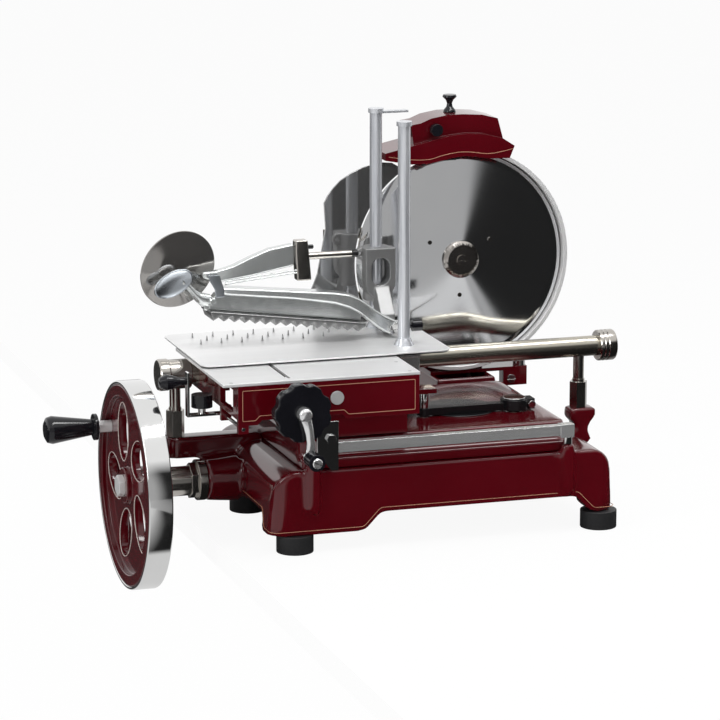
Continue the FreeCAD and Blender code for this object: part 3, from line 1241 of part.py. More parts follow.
def blade_mounting():
    plate_back = "head_front + head_plate"
    opening = sector("head_opening", "300", size("ring_gap_start"), size("ring_gap_end"),
                     "head_front - 1", "head_plate + 2")
    outer = cut(
        "head_rim",
        cylinder("head_disc", "Y", "ring_outer", "head_front", "head_plate",
                 "drive_x", "blade_z"),
        opening,
    )
    inner = cylinder("head_inner", "Y", "head_radius_small", "head_front", "head_plate",
                     "drive_x", "blade_z")
    boss = cylinder("head_boss", "Y", "bearing_radius + 7", "head_front", "bearing_depth",
                    "drive_x", "blade_z")
    left = "drive_x - case_width / 2"
    column = box("head_column", left, "case_width", plate_back + " - 1",
                 "case_back - head_front - head_plate + 1", "case_top", "blade_z - case_top")
    crown = cylinder("head_crown", "Y", "case_width / 2", plate_back + " - 1",
                     "case_back - head_front - head_plate + 1", "drive_x", "blade_z")
    flange = box("head_flange", left, "guard_post_x + guard_post_radius - drive_x"
                 " + case_width / 2", "ear_front", "case_back - ear_front", "case_top",
                 "flange_height")
    ear = box("head_ear", "guard_post_x - 26", "26 + guard_post_radius", "ear_front", "18",
              "ear_z - 10", "case_top - ear_z + 11")
    inside_y = "head_front + bearing_depth"
    inside_depth = "case_back - case_wall - head_front - bearing_depth"
    inside = box("column_inside", left + " + case_wall", "case_width - 2 * case_wall",
                 inside_y, inside_depth, "case_top - 1", "blade_z - case_top + 1")
    inside_top = cylinder("column_inside_top", "Y", "case_width / 2 - case_wall", inside_y,
                          inside_depth, "drive_x", "blade_z")
    seat = cylinder("bearing_seat", "Y", "bearing_radius + bore_gap", "head_front - 1",
                    "bearing_depth + 2", "drive_x", "blade_z")
    node(cut("head_cut", fuse("head_whole", outer, inner, boss, column, crown, flange, ear),
             inside, inside_top, seat), "blade_head")
    node(ring("bearing_race", "Y", "bearing_radius", "blade_shaft_radius + bore_gap",
              "head_front", "bearing_depth", "drive_x", "blade_z"), "blade_bearing")
    ring_depth = "head_front - ring_front"
    band = ring("guard_band", "Y", "ring_outer", "ring_inner", "ring_front", ring_depth,
                "drive_x", "blade_z")
    mouth = sector("guard_mouth", "300", size("ring_gap_start"), size("ring_gap_end"),
                   "ring_front - 1", ring_depth + " + 2")
    notch = box("guard_notch", "stone_x - fork_half - 2", "2 * fork_half + 4",
                "ring_front - 1", ring_depth + " + 2", "blade_z + 100", "80")
    node(cut("guard_cut", band, mouth, notch), "guard_ring")
    post = cylinder("guard_post_bar", "Z", "guard_post_radius", "case_top + flange_height",
                    "70", "guard_post_x", "ear_front + guard_post_radius")
    clear = cylinder("guard_post_cut", "Y", "ring_outer + bore_gap", "ear_front - 10", "50",
                     "drive_x", "blade_z")
    screw = cylinder("ear_screw", "Y", "6", "ear_front - 3", "3", "ear_x", "ear_z")
    screw_slot = box("ear_screw_slot", "ear_x - 7", "14", "ear_front - 4", "2.2",
                     "ear_z - 0.8", "1.6")
    node(group("head_bits", cut("guard_post_trim", post, clear),
               cut("ear_screw_cut", screw, screw_slot)), "head_fittings")


def gauge():
    plate = prism(
        "gauge_outline", "XZ",
        [
            ("-76", "402"), ("-71", "412"), ("-63", "422"), ("-53", "432"), ("-38", "441"),
            ("-22", "448"), ("-12", "451"), ("8", "454"), ("22", "453"), ("60", "430"),
            ("40", "210"), ("-10", "196"), ("-60", "196"), ("-94", "225"), ("-94", "283"),
            ("-86", "304"), ("-74", "366"),
        ],
        "blade_y", "gauge_thickness",
    )
    round_cut = cylinder("gauge_round", "Y", "blade_radius + gauge_gap", "blade_y - 1",
                         "gauge_thickness + 2", "drive_x", "blade_z")
    studs = []
    bars = []
    for name, z in (("low", "blade_z - 48"), ("high", "blade_z + 42")):
        studs.append(cylinder("stud_" + name, "Y", "gauge_stud",
                              "blade_y + gauge_thickness - 0.5",
                              "head_front - 2 - blade_y - gauge_thickness + 0.5",
                              "gauge_stud_x", z))
        bar = box("guide_bar_" + name, "gauge_stud_x - 12", "90", "head_front - 8", "8",
                  z + " - 7", "14")
        hole = cylinder("guide_hole_" + name, "Y", "gauge_stud + bore_gap", "head_front - 9",
                        "10", "gauge_stud_x", z)
        bars.append(cut("guide_" + name, bar, hole))
    node(fuse("gauge_whole", cut("gauge_trim", plate, round_cut), *studs), "gauge_plate")
    node(group("guides", *bars), "gauge_guides")


# ---------------------------------------------------------------- sharpener


def sharpener():
    """The housing astride the top of the blade with its stones, knob and button."""
    crown = prism(
        "sharpener_crown", "XZ",
        [
            ("48", "468"), ("43", "507"), ("57", "509"), ("72", "515"), ("96", "519"),
            ("118", "519"), ("146", "517"), ("169", "511"), ("179", "475"),
        ],
        "cover_front", "cover_back - cover_front",
    )
    skirt = prism(
        "sharpener_skirt", "XZ",
        [
            ("3", "471"), ("45", "480"), ("63", "484"), ("80", "488"), ("99", "491.5"),
            ("123", "493.5"), ("147", "491"), ("174", "484"), ("191", "473"), ("184", "456"),
            ("156", "457"), ("136", "460"), ("118", "462"), ("99", "460"), ("84", "457"),
            ("66", "454"), ("41", "454"), ("3", "461"),
        ],
        "cover_front - cover_flare", "cover_back - cover_front + 2 * cover_flare",
    )
    shell = fuse("sharpener_shell", crown, skirt)
    hollow = cylinder("blade_space", "Y", "ring_outer + run_gap", "ring_front - run_gap",
                      "head_front + head_plate - ring_front + run_gap", "drive_x", "blade_z")
    fork_space = box("fork_space", "stone_x - fork_half - 2", "2 * fork_half + 4",
                     "fork_front - 2", "fork_back - fork_front + 4", "blade_z + 100",
                     "fork_top + fork_lift - blade_z - 98")
    rod_hole = cylinder("rod_hole", "Z", "spool_rod + bore_gap", "fork_top",
                        "50", "stone_x", "fork_y")
    stem_hole = cylinder("stem_hole", "Y", "4 + bore_gap", "cover_front - 1",
                         "push_travel + 8", "button_push_x", "button_push_z")
    node(cut("sharpener_body", shell, hollow, fork_space, rod_hole, stem_hole),
         "sharpener_housing")

    rod_bar = cylinder("knob_rod", "Z", "spool_rod", "fork_top - 4",
                       "spool_bottom - fork_top + 6", "stone_x", "fork_y")
    spool = turned(
        "spool", "Z",
        [
            ("0", "0"), ("spool_radius - 1", "0"), ("spool_radius - 2", "3"),
            ("spool_waist + 1", "spool_height * 0.3"), ("spool_waist", "spool_height * 0.5"),
            ("spool_waist + 2", "spool_height * 0.7"), ("spool_radius", "spool_height - 3"),
            ("spool_radius - 1", "spool_height"), ("0", "spool_height"),
        ],
        "spool_bottom", "stone_x", "fork_y",
    )
    yoke = box("fork_yoke", "stone_x - fork_half", "2 * fork_half", "fork_front",
               "fork_back - fork_front", "fork_top - 8", "8")
    legs = []
    for name, y in (("front", "fork_front"), ("back", "fork_back - fork_leg")):
        legs.append(box("fork_leg_" + name, "stone_x - fork_half", "2 * fork_half", y,
                        "fork_leg", "stone_z - stone_radius",
                        "fork_top - stone_z + stone_radius"))
    node(fuse("knob_whole", rod_bar, spool, yoke, *legs), "sharpener_knob")
    stones = [
        cylinder("stone_front", "Y", "stone_radius", "fork_front + fork_leg",
                 "stone_thickness", "stone_x", "stone_z"),
        cylinder("stone_back", "Y", "stone_radius", "fork_back - fork_leg - stone_thickness",
                 "stone_thickness", "stone_x", "stone_z"),
    ]
    node(group("stones", *stones), "sharpening_stones")
    face = cylinder("push_face", "Y", "push_radius",
                    "cover_front - push_travel - run_gap - push_length", "push_length",
                    "button_push_x", "button_push_z")
    stem = cylinder("push_stem", "Y", "4", "cover_front - push_travel - run_gap - 1",
                    "push_travel + 5", "button_push_x", "button_push_z")
    node(fuse("push_whole", face, stem), "sharpener_button")


# ---------------------------------------------------------------- build and export

base_casting()
underside_tray()
feet()
slide_bar()
front_rail()
shaft_seats()
flywheel()
flywheel_shaft()
crank_grip()
cross_line()
chain()
arm_on_deck()
carriage()
table()
feed()
carrier()
press()
release_lever()
blade()
blade_mounting()
gauge()
sharpener()
doc.recompute()

for thing in doc.Objects:
    if "Invalid" in thing.State or "Error" in thing.State:
        raise RuntimeError("not built: %s %s" % (thing.Name, thing.State))

os.makedirs("parts", exist_ok=True)
for thing in nodes:
    if thing.Shape.isNull() or not thing.Shape.isValid():
        raise RuntimeError("bad shape: " + thing.Label)
    thing.Shape.exportStep("parts/%s.step" % thing.Label)
    print(thing.Label, len(thing.Shape.Solids), round(thing.Shape.Volume / 1000, 2))
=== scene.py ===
import json
import math

import bpy
from mathutils import Matrix, Vector


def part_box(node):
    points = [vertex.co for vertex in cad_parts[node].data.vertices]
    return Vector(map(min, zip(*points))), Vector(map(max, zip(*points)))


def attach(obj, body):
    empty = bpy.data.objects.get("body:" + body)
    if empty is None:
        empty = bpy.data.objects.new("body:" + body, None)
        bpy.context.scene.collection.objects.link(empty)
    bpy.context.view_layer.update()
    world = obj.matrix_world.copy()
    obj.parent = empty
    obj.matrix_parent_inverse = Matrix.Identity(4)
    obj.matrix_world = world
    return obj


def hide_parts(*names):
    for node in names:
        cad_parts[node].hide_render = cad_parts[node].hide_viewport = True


# Looks of a hand-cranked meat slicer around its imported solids. Metres: +X along the carriage
# travel, +Y from the operator to the blade, +Z up, the feet on z = 0.

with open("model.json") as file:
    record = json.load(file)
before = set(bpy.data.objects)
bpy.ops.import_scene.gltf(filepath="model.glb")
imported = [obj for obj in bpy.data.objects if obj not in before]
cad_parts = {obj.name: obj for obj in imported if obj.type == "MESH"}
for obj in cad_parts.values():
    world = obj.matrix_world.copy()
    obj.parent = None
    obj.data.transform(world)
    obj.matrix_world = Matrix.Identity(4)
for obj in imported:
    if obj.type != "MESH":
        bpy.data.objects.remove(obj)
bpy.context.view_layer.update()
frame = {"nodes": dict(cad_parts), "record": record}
MM = 0.001


# ---------------------------------------------------------------- camera

CAMERA_TURN = math.radians(17.6)
CAMERA_TILT = math.radians(12.43)
CAMERA_DISTANCE = 5.0598
CAMERA_AIM = Vector((-0.08691, 0, 0.22389))
CAMERA_LENS = 189.9
CAMERA_SENSOR = 36
CAMERA_FAR_END = 50


def place_camera():
    data = bpy.data.cameras.new("view")
    data.lens = CAMERA_LENS
    data.sensor_width = CAMERA_SENSOR
    data.clip_end = CAMERA_FAR_END
    camera = bpy.data.objects.new("view", data)
    bpy.context.collection.objects.link(camera)
    level = math.cos(CAMERA_TILT)
    ahead = Vector((math.sin(CAMERA_TURN) * level, math.cos(CAMERA_TURN) * level,
                    -math.sin(CAMERA_TILT)))
    camera.location = CAMERA_AIM - ahead * CAMERA_DISTANCE
    camera.rotation_mode = "QUATERNION"
    camera.rotation_quaternion = ahead.to_track_quat("-Z", "Y")
    bpy.context.scene.camera = camera


# ---------------------------------------------------------------- materials


class Value:
    """A node's output that takes part in Python arithmetic."""

    def __init__(self, paint, socket):
        self.paint = paint
        self.socket = socket

    def maths(self, operation, *others):
        return self.paint.node("ShaderNodeMath", {"operation": operation},
                               dict(enumerate((self,) + others)))

    def __add__(self, other):
        return self.maths("ADD", other)

    __radd__ = __add__

    def __mul__(self, other):
        return self.maths("MULTIPLY", other)

    __rmul__ = __mul__

    def __sub__(self, other):
        return self.maths("SUBTRACT", other)

    def __rsub__(self, other):
        return self * -1 + other

    def clamp(self):
        return self.paint.node("ShaderNodeClamp", {}, {0: self})


class Paint:
    """A material or world under construction, whose patterns read one set of coordinates."""

    def __init__(self, owner, coordinates="Object"):
        owner.use_nodes = True
        self.owner = owner
        self.tree = owner.node_tree
        self.tree.nodes.clear()
        self.place = self.node("ShaderNodeTexCoord", {}, {}, coordinates)

    def node(self, kind, settings, sockets, output=0):
        made = self.tree.nodes.new(kind)
        for name, setting in settings.items():
            if name == "stops":
                ramp = made.color_ramp
                while len(ramp.elements) < len(setting):
                    ramp.elements.new(0.5)
                for element, (position, colour) in zip(ramp.elements, setting):
                    element.position = position
                    element.color = colour
            else:
                setattr(made, name, setting)
        for name, value in sockets.items():
            if isinstance(value, Value):
                self.tree.links.new(value.socket, made.inputs[name])
            else:
                made.inputs[name].default_value = value
        return Value(self, made.outputs[output])

    def noise(self, scale, detail=2.0, stretch=(1, 1, 1)):
        """Noise from 0 to 1 at a scale in features per metre, stretched along the axes."""
        spot = self.node("ShaderNodeMapping", {}, {"Vector": self.place, "Scale": stretch})
        return self.node("ShaderNodeTexNoise", {},
                         {"Vector": spot, "Scale": scale, "Detail": detail})

    def part(self, letter):
        """One coordinate of the place."""
        return self.node("ShaderNodeSeparateXYZ", {}, {"Vector": self.place}, letter)

    def ray(self, kind):
        return self.node("ShaderNodeLightPath", {}, {}, kind)

    def reach(self, centre, flat):
        """The distance from a centre, with the flattened axes left out."""
        offset = self.node("ShaderNodeVectorMath", {"operation": "SUBTRACT"},
                           {0: self.place, 1: centre})
        offset = self.node("ShaderNodeVectorMath", {"operation": "MULTIPLY"},
                           {0: offset, 1: flat})
        return self.node("ShaderNodeVectorMath", {"operation": "LENGTH"}, {0: offset}, "Value")

    def mix(self, share, first, second):
        """A colour between two, by a share from 0 to 1."""
        return self.node("ShaderNodeMix", {"data_type": "RGBA"},
                         {"Factor": share, 6: first, 7: second}, 2)

    def bump(self, height, distance, strength=1.0):
        return self.node("ShaderNodeBump", {},
                         {"Height": height, "Distance": distance, "Strength": strength})

    def finish(self, **sockets):
        names = {name.replace("_", " ").title().replace("Ior", "IOR"): value
                 for name, value in sockets.items()}
        shader = self.node("ShaderNodeBsdfPrincipled", {}, names)
        return self.output(shader)

    def output(self, shader, kind="ShaderNodeOutputMaterial"):
        out = self.tree.nodes.new(kind)
        self.tree.links.new(shader.socket, out.inputs["Surface"])
        return self.owner


def paint_for(name):
    return Paint(bpy.data.materials.new(name))


def grey(value):
    return (value, value, value, 1)


def enamel(name, dark, light):
    """Thick gloss enamel over a casting: slow colour drift and a faint orange peel."""
    paint = paint_for(name)
    drift = paint.noise(9, 3)
    peel = paint.noise(420, 1)
    return paint.finish(
        base_color=paint.mix(drift, dark, light),
        roughness=paint.noise(35, 3) * 0.08 + 0.08,
        normal=paint.bump(peel, 0.00004, 0.3),
        coat_weight=0.35, coat_roughness=0.02, specular_ior_level=0.4,
    )


def bright_metal(name, colour, dull, low, high, stretch=(1, 1, 1), scale=60, depth=0.00001,
                 streaks=14, metal=1.0):
    """A polished or brushed metal: tone and roughness drift along its grain."""
    paint = paint_for(name)
    grain = paint.noise(scale, 4, stretch)
    smear = paint.noise(streaks, 3, stretch)
    return paint.finish(
        base_color=paint.mix(smear, colour, dull),
        metallic=metal,
        roughness=grain * (high - low) + low,
        normal=paint.bump(grain, depth, 0.5),
    )


RING_SCALE = 900
RING_DEPTH = 0.000006
CONE_TURN = math.radians(15)


def coned_steel(name, colour, dull, centre, slope, flat=1.0, lean=(0, 0), metal=1.0):
    """A polished disc with faint turned rings, dished a few degrees about its centre.

    Flat below 1 makes the dish longer than it is wide, and lean tilts it right and down.
    """
    paint = paint_for(name)
    away = paint.reach(centre, (1, 0, 1))
    rings = paint.node("ShaderNodeTexNoise", {"noise_dimensions": "1D"},
                       {"W": away, "Scale": RING_SCALE, "Detail": 3})
    right, up = paint.part("X") - centre[0], paint.part("Z") - centre[2]
    long = right * math.cos(CONE_TURN) + up * math.sin(CONE_TURN)
    short = up * math.cos(CONE_TURN) - right * math.sin(CONE_TURN)
    cone = (long * long + short * short * flat).maths("POWER", 0.5)
    dish = paint.bump(right * lean[0] - cone - up * lean[1], slope)
    return paint.finish(
        base_color=paint.mix(paint.noise(11, 3), colour, dull),
        metallic=metal,
        roughness=rings * 0.06 + 0.05,
        normal=paint.node("ShaderNodeBump", {},
                          {"Height": rings, "Distance": RING_DEPTH, "Normal": dish}),
    )


def moulded(name, colour, low, high, scale, depth, shine=0.5):
    """Plastic, rubber or stone: fine mould texture over an even colour."""
    paint = paint_for(name)
    grain = paint.noise(scale, 3)
    drift = paint.noise(20, 2)
    worn = tuple(min(1, c * 1.8 + 0.004) for c in colour[:3]) + (1,)
    return paint.finish(
        base_color=paint.mix(drift * 0.6, colour, worn),
        roughness=grain * (high - low) + low,
        normal=paint.bump(grain, depth, 0.5),
        specular_ior_level=shine,
    )


BLADE_CENTRE = (0.121, 0, 0.313)
SHIELD_CENTRE = (-0.335, 0, 0.335)


def make_finishes():
    """The finish of every material slot, and the shield's own mirror."""
    return {
        "red_enamel": enamel("red_enamel", (0.066, 0.0008, 0.003, 1), (0.096, 0.0018, 0.006, 1)),
        "rubber_black": moulded("rubber_black", (0.012, 0.012, 0.013, 1), 0.45, 0.7, 300, 0.0001),
        "steel_zinc": bright_metal("steel_zinc", grey(0.62), grey(0.5), 0.22, 0.4),
        "chrome_bright": bright_metal("chrome_bright", grey(0.8), (0.7, 0.7, 0.69, 1), 0.04, 0.1),
        # Brushed grain on the columns, with painted reflection streaks in the colour, near white to
        # blue-grey along their length.
        "column_steel": bright_metal("column_steel", (0.96, 0.97, 1, 1), (0.3, 0.32, 0.36, 1),
                                     0.12, 0.22, (30, 30, 1), streaks=9, metal=0.6),
        "nickel_warm": bright_metal("nickel_warm", (0.56, 0.53, 0.49, 1), (0.44, 0.42, 0.39, 1),
                                    0.12, 0.22),
        "steel_ground": bright_metal("steel_ground", (0.52, 0.49, 0.42, 1), (0.4, 0.38, 0.32, 1),
                                     0.2, 0.3, (1, 30, 30), depth=0.000002, streaks=5),
        "bronze_bush": bright_metal("bronze_bush", (0.6, 0.36, 0.14, 1), (0.5, 0.3, 0.12, 1),
                                    0.2, 0.35),
        "blade_steel": coned_steel("blade_steel", grey(0.8), (0.7, 0.71, 0.73, 1),
                                   BLADE_CENTRE, 0.16, 0.16, (0.97, 0.6)),
        "cast_aluminium": bright_metal("cast_aluminium", (0.74, 0.76, 0.75, 1),
                                       (0.6, 0.62, 0.62, 1), 0.14, 0.26, scale=120,
                                       depth=0.00005, metal=0.8),
        "table_aluminium": bright_metal("table_aluminium", grey(0.94), grey(0.86), 0.34, 0.46,
                                        (1, 40, 1), streaks=3, metal=0.6),
        "black_knob": moulded("black_knob", (0.005, 0.005, 0.007, 1), 0.06, 0.14, 90, 0.00001, 0.4),
        "black_enamel": moulded("black_enamel", (0.006, 0.006, 0.007, 1), 0.12, 0.24, 150,
                                0.00004, 0.4),
        "chain_steel": bright_metal("chain_steel", grey(0.3), grey(0.2), 0.3, 0.45),
        "stone_grey": moulded("stone_grey", (0.4, 0.37, 0.33, 1), 0.8, 0.95, 900, 0.0003),
        "shield_mirror": coned_steel("shield_mirror", (0.47, 0.44, 0.41, 1), grey(0.36),
                                     SHIELD_CENTRE, 0.1, 1, (0, 0.2), 0.9),
    }


finishes = make_finishes()
gold_paint = moulded("gold_paint", (0.36, 0.17, 0.1, 1), 0.3, 0.4, 200, 0.00001)
# Pale paint for the painted highlights round the flywheel windows.
window_highlight_paint = moulded("window_highlight_paint", (0.62, 0.52, 0.48, 1), 0.2, 0.3, 200, 0.00001)
gauge_mirror = bright_metal("gauge_mirror", grey(0.5), grey(0.42), 0.04, 0.08, depth=0.000002,
                            metal=0.88)
spoon_satin = bright_metal("spoon_satin", (0.62, 0.66, 0.7, 1), (0.46, 0.49, 0.53, 1), 0.22, 0.3)
foot_steel = bright_metal("foot_steel", grey(0.34), grey(0.22), 0.26, 0.4, (30, 1, 1))
crank_chrome = bright_metal("crank_chrome", grey(0.86), grey(0.74), 0.1, 0.18, metal=0.85)
ring_satin = bright_metal("ring_satin", grey(0.9), grey(0.82), 0.3, 0.4, metal=0.45)
OWN_FINISH = {
    "gauge_plate": gauge_mirror, "press_foot": foot_steel, "guard_ring": ring_satin,
    "column_knob": finishes["black_knob"], "flywheel_fittings": ring_satin,
    "press_carrier": bright_metal("carrier_satin", grey(0.42), grey(0.3), 0.38, 0.5, metal=0.85),
    "carriage_button": bright_metal("button_satin", grey(0.6), grey(0.5), 0.3, 0.4, metal=0.5),
    "front_rail": bright_metal("rail_steel", grey(0.8), grey(0.6), 0.16, 0.26, (1, 40, 40),
                               depth=0.000002, streaks=6, metal=0.75),
    "blade_cap": bright_metal("cap_steel", (0.6, 0.56, 0.52, 1), (0.5, 0.47, 0.44, 1), 0.14, 0.2),
}


def dress(piece, finish):
    piece.data.materials.clear()
    piece.data.materials.append(finish)


# ---------------------------------------------------------------- stage and light


# The room is dark to the right of this direction, as a bright surface finds it.
DARK_SIDE = (0.974, 0.225)
DARK = 0.015


def rightward(paint):
    """How far a place lies on the dark side of the room."""
    return paint.part("X") * DARK_SIDE[0] + paint.part("Y") * DARK_SIDE[1]


def paper_with_painted_reflections(name, seen, painted_reflection_grey, front_edge, reach):
    """White paper: its share seen as plain white, and the painted reflection, light and dark, that
    metal finds.

    The painted reflection is dark in front of the front edge, within reach of the feet and far
    behind.
    """
    paint = paint_for(name)
    fibre = paint.noise(60, 2)
    diffuse = paint.node("ShaderNodeBsdfDiffuse", {},
                         {"Color": paint.mix(fibre, grey(0.86), grey(0.88))})
    right = ((rightward(paint) + 0.42) * 8).clamp()
    front = ((front_edge - paint.part("Y")) * 10).clamp()
    near = ((reach - paint.reach((-0.05, 0.05, 0), (0.8, 1, 0))) * 8).clamp()
    behind = ((paint.part("X") * -1 - 0.5) * 4).clamp() * ((paint.part("Y") - 0.3) * 4).clamp()
    # The painted shade in the reflection: metal finds the paper dark here, though it is lit like
    # the rest.
    dark = (right * front + near + behind * 0.96).clamp()
    mirror = paint.ray("Is Glossy Ray")
    shown = paint.mix(mirror, grey(1), paint.mix(dark, grey(painted_reflection_grey), grey(DARK)))
    glow = paint.node("ShaderNodeEmission", {}, {"Color": shown})
    share = (paint.ray("Is Camera Ray") + paint.ray("Is Transmission Ray")) * seen
    shader = paint.node("ShaderNodeMixShader", {},
                        {0: (share + mirror).clamp(), 1: diffuse, 2: glow})
    return paint.output(shader)


def light(name, place, aim, size, power, mirrored):
    data = bpy.data.lights.new(name, "AREA")
    data.shape = "RECTANGLE"
    data.size, data.size_y = size
    data.energy = power
    lamp = bpy.data.objects.new(name, data)
    bpy.context.collection.objects.link(lamp)
    lamp.location = place
    lamp.rotation_mode = "QUATERNION"
    lamp.rotation_quaternion = (Vector(aim) - Vector(place)).to_track_quat("-Z", "Y")
    lamp.visible_glossy = mirrored


TOP_SIZE = (5.3, 7, 1)
TOP_PLACE = (2.35, 2.3, 0)
TOP_THICKNESS = 0.03
FLOOR_SIZE = 16
FLOOR_LEVEL = -0.75


def make_stage():
    """A white worktop whose left edge leaves room for the flywheel, over a white floor."""
    bpy.ops.mesh.primitive_plane_add(size=1)
    top = bpy.context.object
    top.name = "worktop"
    bpy.ops.object.mode_set(mode="EDIT")
    bpy.ops.mesh.select_all(action="SELECT")
    bpy.ops.transform.resize(value=TOP_SIZE)
    bpy.ops.transform.translate(value=TOP_PLACE)
    bpy.ops.mesh.extrude_region_move(
        TRANSFORM_OT_translate={"value": (0, 0, -TOP_THICKNESS)})
    bpy.ops.mesh.select_all(action="SELECT")
    bpy.ops.mesh.normals_make_consistent(inside=False)
    bpy.ops.object.mode_set(mode="OBJECT")
    dress(top, paper_with_painted_reflections("worktop_paper_painted_reflections", 0.93, 0.52, 0.1, 0.44))
    bpy.ops.mesh.primitive_plane_add(size=FLOOR_SIZE, location=(0, 0, FLOOR_LEVEL))
    floor = bpy.context.object
    floor.name = "floor"
    dress(floor, paper_with_painted_reflections("floor_paper_painted_reflections", 0.99, 0.75, -0.35, 0))


def make_studio():
    """A white surround, with a dark room in front that only bright surfaces show.

    The room is dark below in front of the slicer on its right side, half dark on its left, and
    dark under the level of the worktop far behind on the left.
    """
    world = bpy.data.worlds.new("studio")
    bpy.context.scene.world = world
    paint = Paint(world, "Generated")
    low = ((0.6 - paint.part("Z")) * 5).clamp()
    front = ((0.12 - paint.part("Y")) * 8).clamp() * low
    right = (rightward(paint) * 24).clamp()
    shade = paint.mix(right, grey(0.45), grey(DARK))
    behind = ((paint.part("X") * -1 - 0.1) * 8).clamp() * ((paint.part("Y") - 0.1) * 8).clamp()
    lit = paint.node("ShaderNodeBackground", {}, {"Color": grey(0.6)})
    white = paint.node("ShaderNodeBackground", {}, {"Color": grey(1)})
    sunk = ((paint.part("Z") * -1 - 0.1) * 12).clamp()
    around = paint.mix(behind * sunk, grey(1), grey(0.03))
    studio = paint.node("ShaderNodeBackground", {}, {"Color": paint.mix(front, around, shade)})
    shown = paint.node("ShaderNodeMixShader", {},
                       {0: paint.ray("Is Glossy Ray"), 1: lit, 2: studio})
    seen = (paint.ray("Is Camera Ray") + paint.ray("Is Transmission Ray")).clamp()
    shown = paint.node("ShaderNodeMixShader", {}, {0: seen, 1: shown, 2: white})
    paint.output(shown, "ShaderNodeOutputWorld")

    light("soft_top", (0.3, -0.5, 2.0), (0, 0, 0.2), (1.8, 0.35), 22, True)
    light("soft_left", (-2.0, -0.9, 1.2), (-0.1, 0, 0.2), (0.3, 1.6), 12, True)
    light("soft_front", (1.1, -2.2, 1.5), (0, 0, 0.2), (0.8, 1.0), 6, False)


# ---------------------------------------------------------------- softened solids


def deselect():
    if bpy.context.mode != "OBJECT":
        bpy.ops.object.mode_set(mode="OBJECT")
    bpy.ops.object.select_all(action="DESELECT")


def apply_all(piece):
    deselect()
    piece.select_set(True)
    bpy.context.view_layer.objects.active = piece
    for modifier in list(piece.modifiers):
        bpy.ops.object.modifier_apply(modifier=modifier.name)


def rounded_edges(piece, width, segments=3, angle=math.radians(30)):
    """Rounds the edges that turn more than the angle, by a width in mm."""
    bevel = piece.modifiers.new("edges", "BEVEL")
    bevel.width = width * MM
    bevel.segments = segments
    bevel.limit_method = "ANGLE"
    bevel.angle_limit = angle
    apply_all(piece)
    return piece


def keep_flat(piece):
    """Turns the shading of rounded edges away from the flat faces between them."""
    weigh = piece.modifiers.new("flat", "WEIGHTED_NORMAL")
    weigh.keep_sharp = True
    apply_all(piece)


WELD = 1e-6
EDGE_ANGLE = math.radians(35)
CAST_ANGLE = math.radians(60)
FLAT_ANGLE = math.radians(0.6)


def soften(node, name, width):
    """A copy of a solid with its edges rounded, which takes the solid's place.

    A casting's corners flow into each other both ways instead.
    """
    source = frame["nodes"][node]
    piece = source.copy()
    piece.data = source.data.copy()
    piece.name = name
    piece.data.name = name
    bpy.context.collection.objects.link(piece)
    piece.parent = None
    piece.matrix_world = Matrix()
    deselect()
    piece.select_set(True)
    bpy.context.view_layer.objects.active = piece
    bpy.ops.object.mode_set(mode="EDIT")
    bpy.ops.mesh.select_all(action="SELECT")
    bpy.ops.mesh.remove_doubles(threshold=WELD)
    bpy.ops.mesh.dissolve_limited(angle_limit=FLAT_ANGLE)
    bpy.ops.object.mode_set(mode="OBJECT")
    if node in CASTINGS:
        grain, passes = CASTINGS[node]
        skin = piece.modifiers.new("skin", "REMESH")
        skin.mode = "VOXEL"
        skin.voxel_size = grain * MM
        flow = piece.modifiers.new("flow", "SMOOTH")
        flow.factor = 0.5
        flow.iterations = passes
        thin = piece.modifiers.new("thin", "DECIMATE")
        thin.ratio = 0.5
        apply_all(piece)
        bpy.ops.object.shade_smooth_by_angle(angle=CAST_ANGLE)
    else:
        rounded_edges(piece, width, 2, EDGE_ANGLE)
        bpy.ops.object.shade_smooth_by_angle(angle=EDGE_ANGLE)
        keep_flat(piece)
    dress(piece, OWN_FINISH.get(node, finishes[slots[node]]))
    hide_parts(node)
    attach(piece, body_of[node])
    return piece


record = frame["record"]
slots = {part["node"]: part["material_slot"] for part in record["subparts"]}
body_of = {node: body for body, members in record["behaviour"]["bodies"].items()
           for node in members}

bpy.context.scene.view_settings.view_transform = "Standard"
place_camera()
make_stage()
make_studio()

# How wide the rounding of a solid's edges is, in mm, where it isn't the plain one.
PLAIN_EDGE = 0.5
EDGE_WIDTHS = {
    "flywheel_casting": 1.5, "carriage_casting": 1.2, "gear_cover": 1.5, "blade_head": 2.0,
    "sharpener_housing": 2.0, "flywheel_band": 2.0, "drive_arm": 1.2, "column_block": 1.5,
    "guard_ring": 1.0, "rubber_feet": 1.0, "front_rail": 4.2,
}
MODELLED = ("press_arm", "press_handle", "hand_guard", "slide_bar_ends", "press_links",
            "meat_table", "feed_crank_arm")
# The grain of a casting in mm, and how often it is smoothed.
CASTINGS = {
    "base_casting": (3.0, 10), "base_deck": (3.0, 8), "feed_wheel": (1.0, 7),
    "press_foot": (0.9, 9), "press_carrier": (1.0, 6),
}
for node_name in sorted(frame["nodes"]):
    if node_name not in MODELLED:
        soften(node_name, "soft_" + node_name, EDGE_WIDTHS.get(node_name, PLAIN_EDGE))


# ---------------------------------------------------------------- modelled pieces


def edit(piece):
    """Puts one piece alone into edit mode with all of it selected."""
    deselect()
    piece.select_set(True)
    bpy.context.view_layer.objects.active = piece
    bpy.ops.object.mode_set(mode="EDIT")
    bpy.ops.mesh.select_all(action="SELECT")


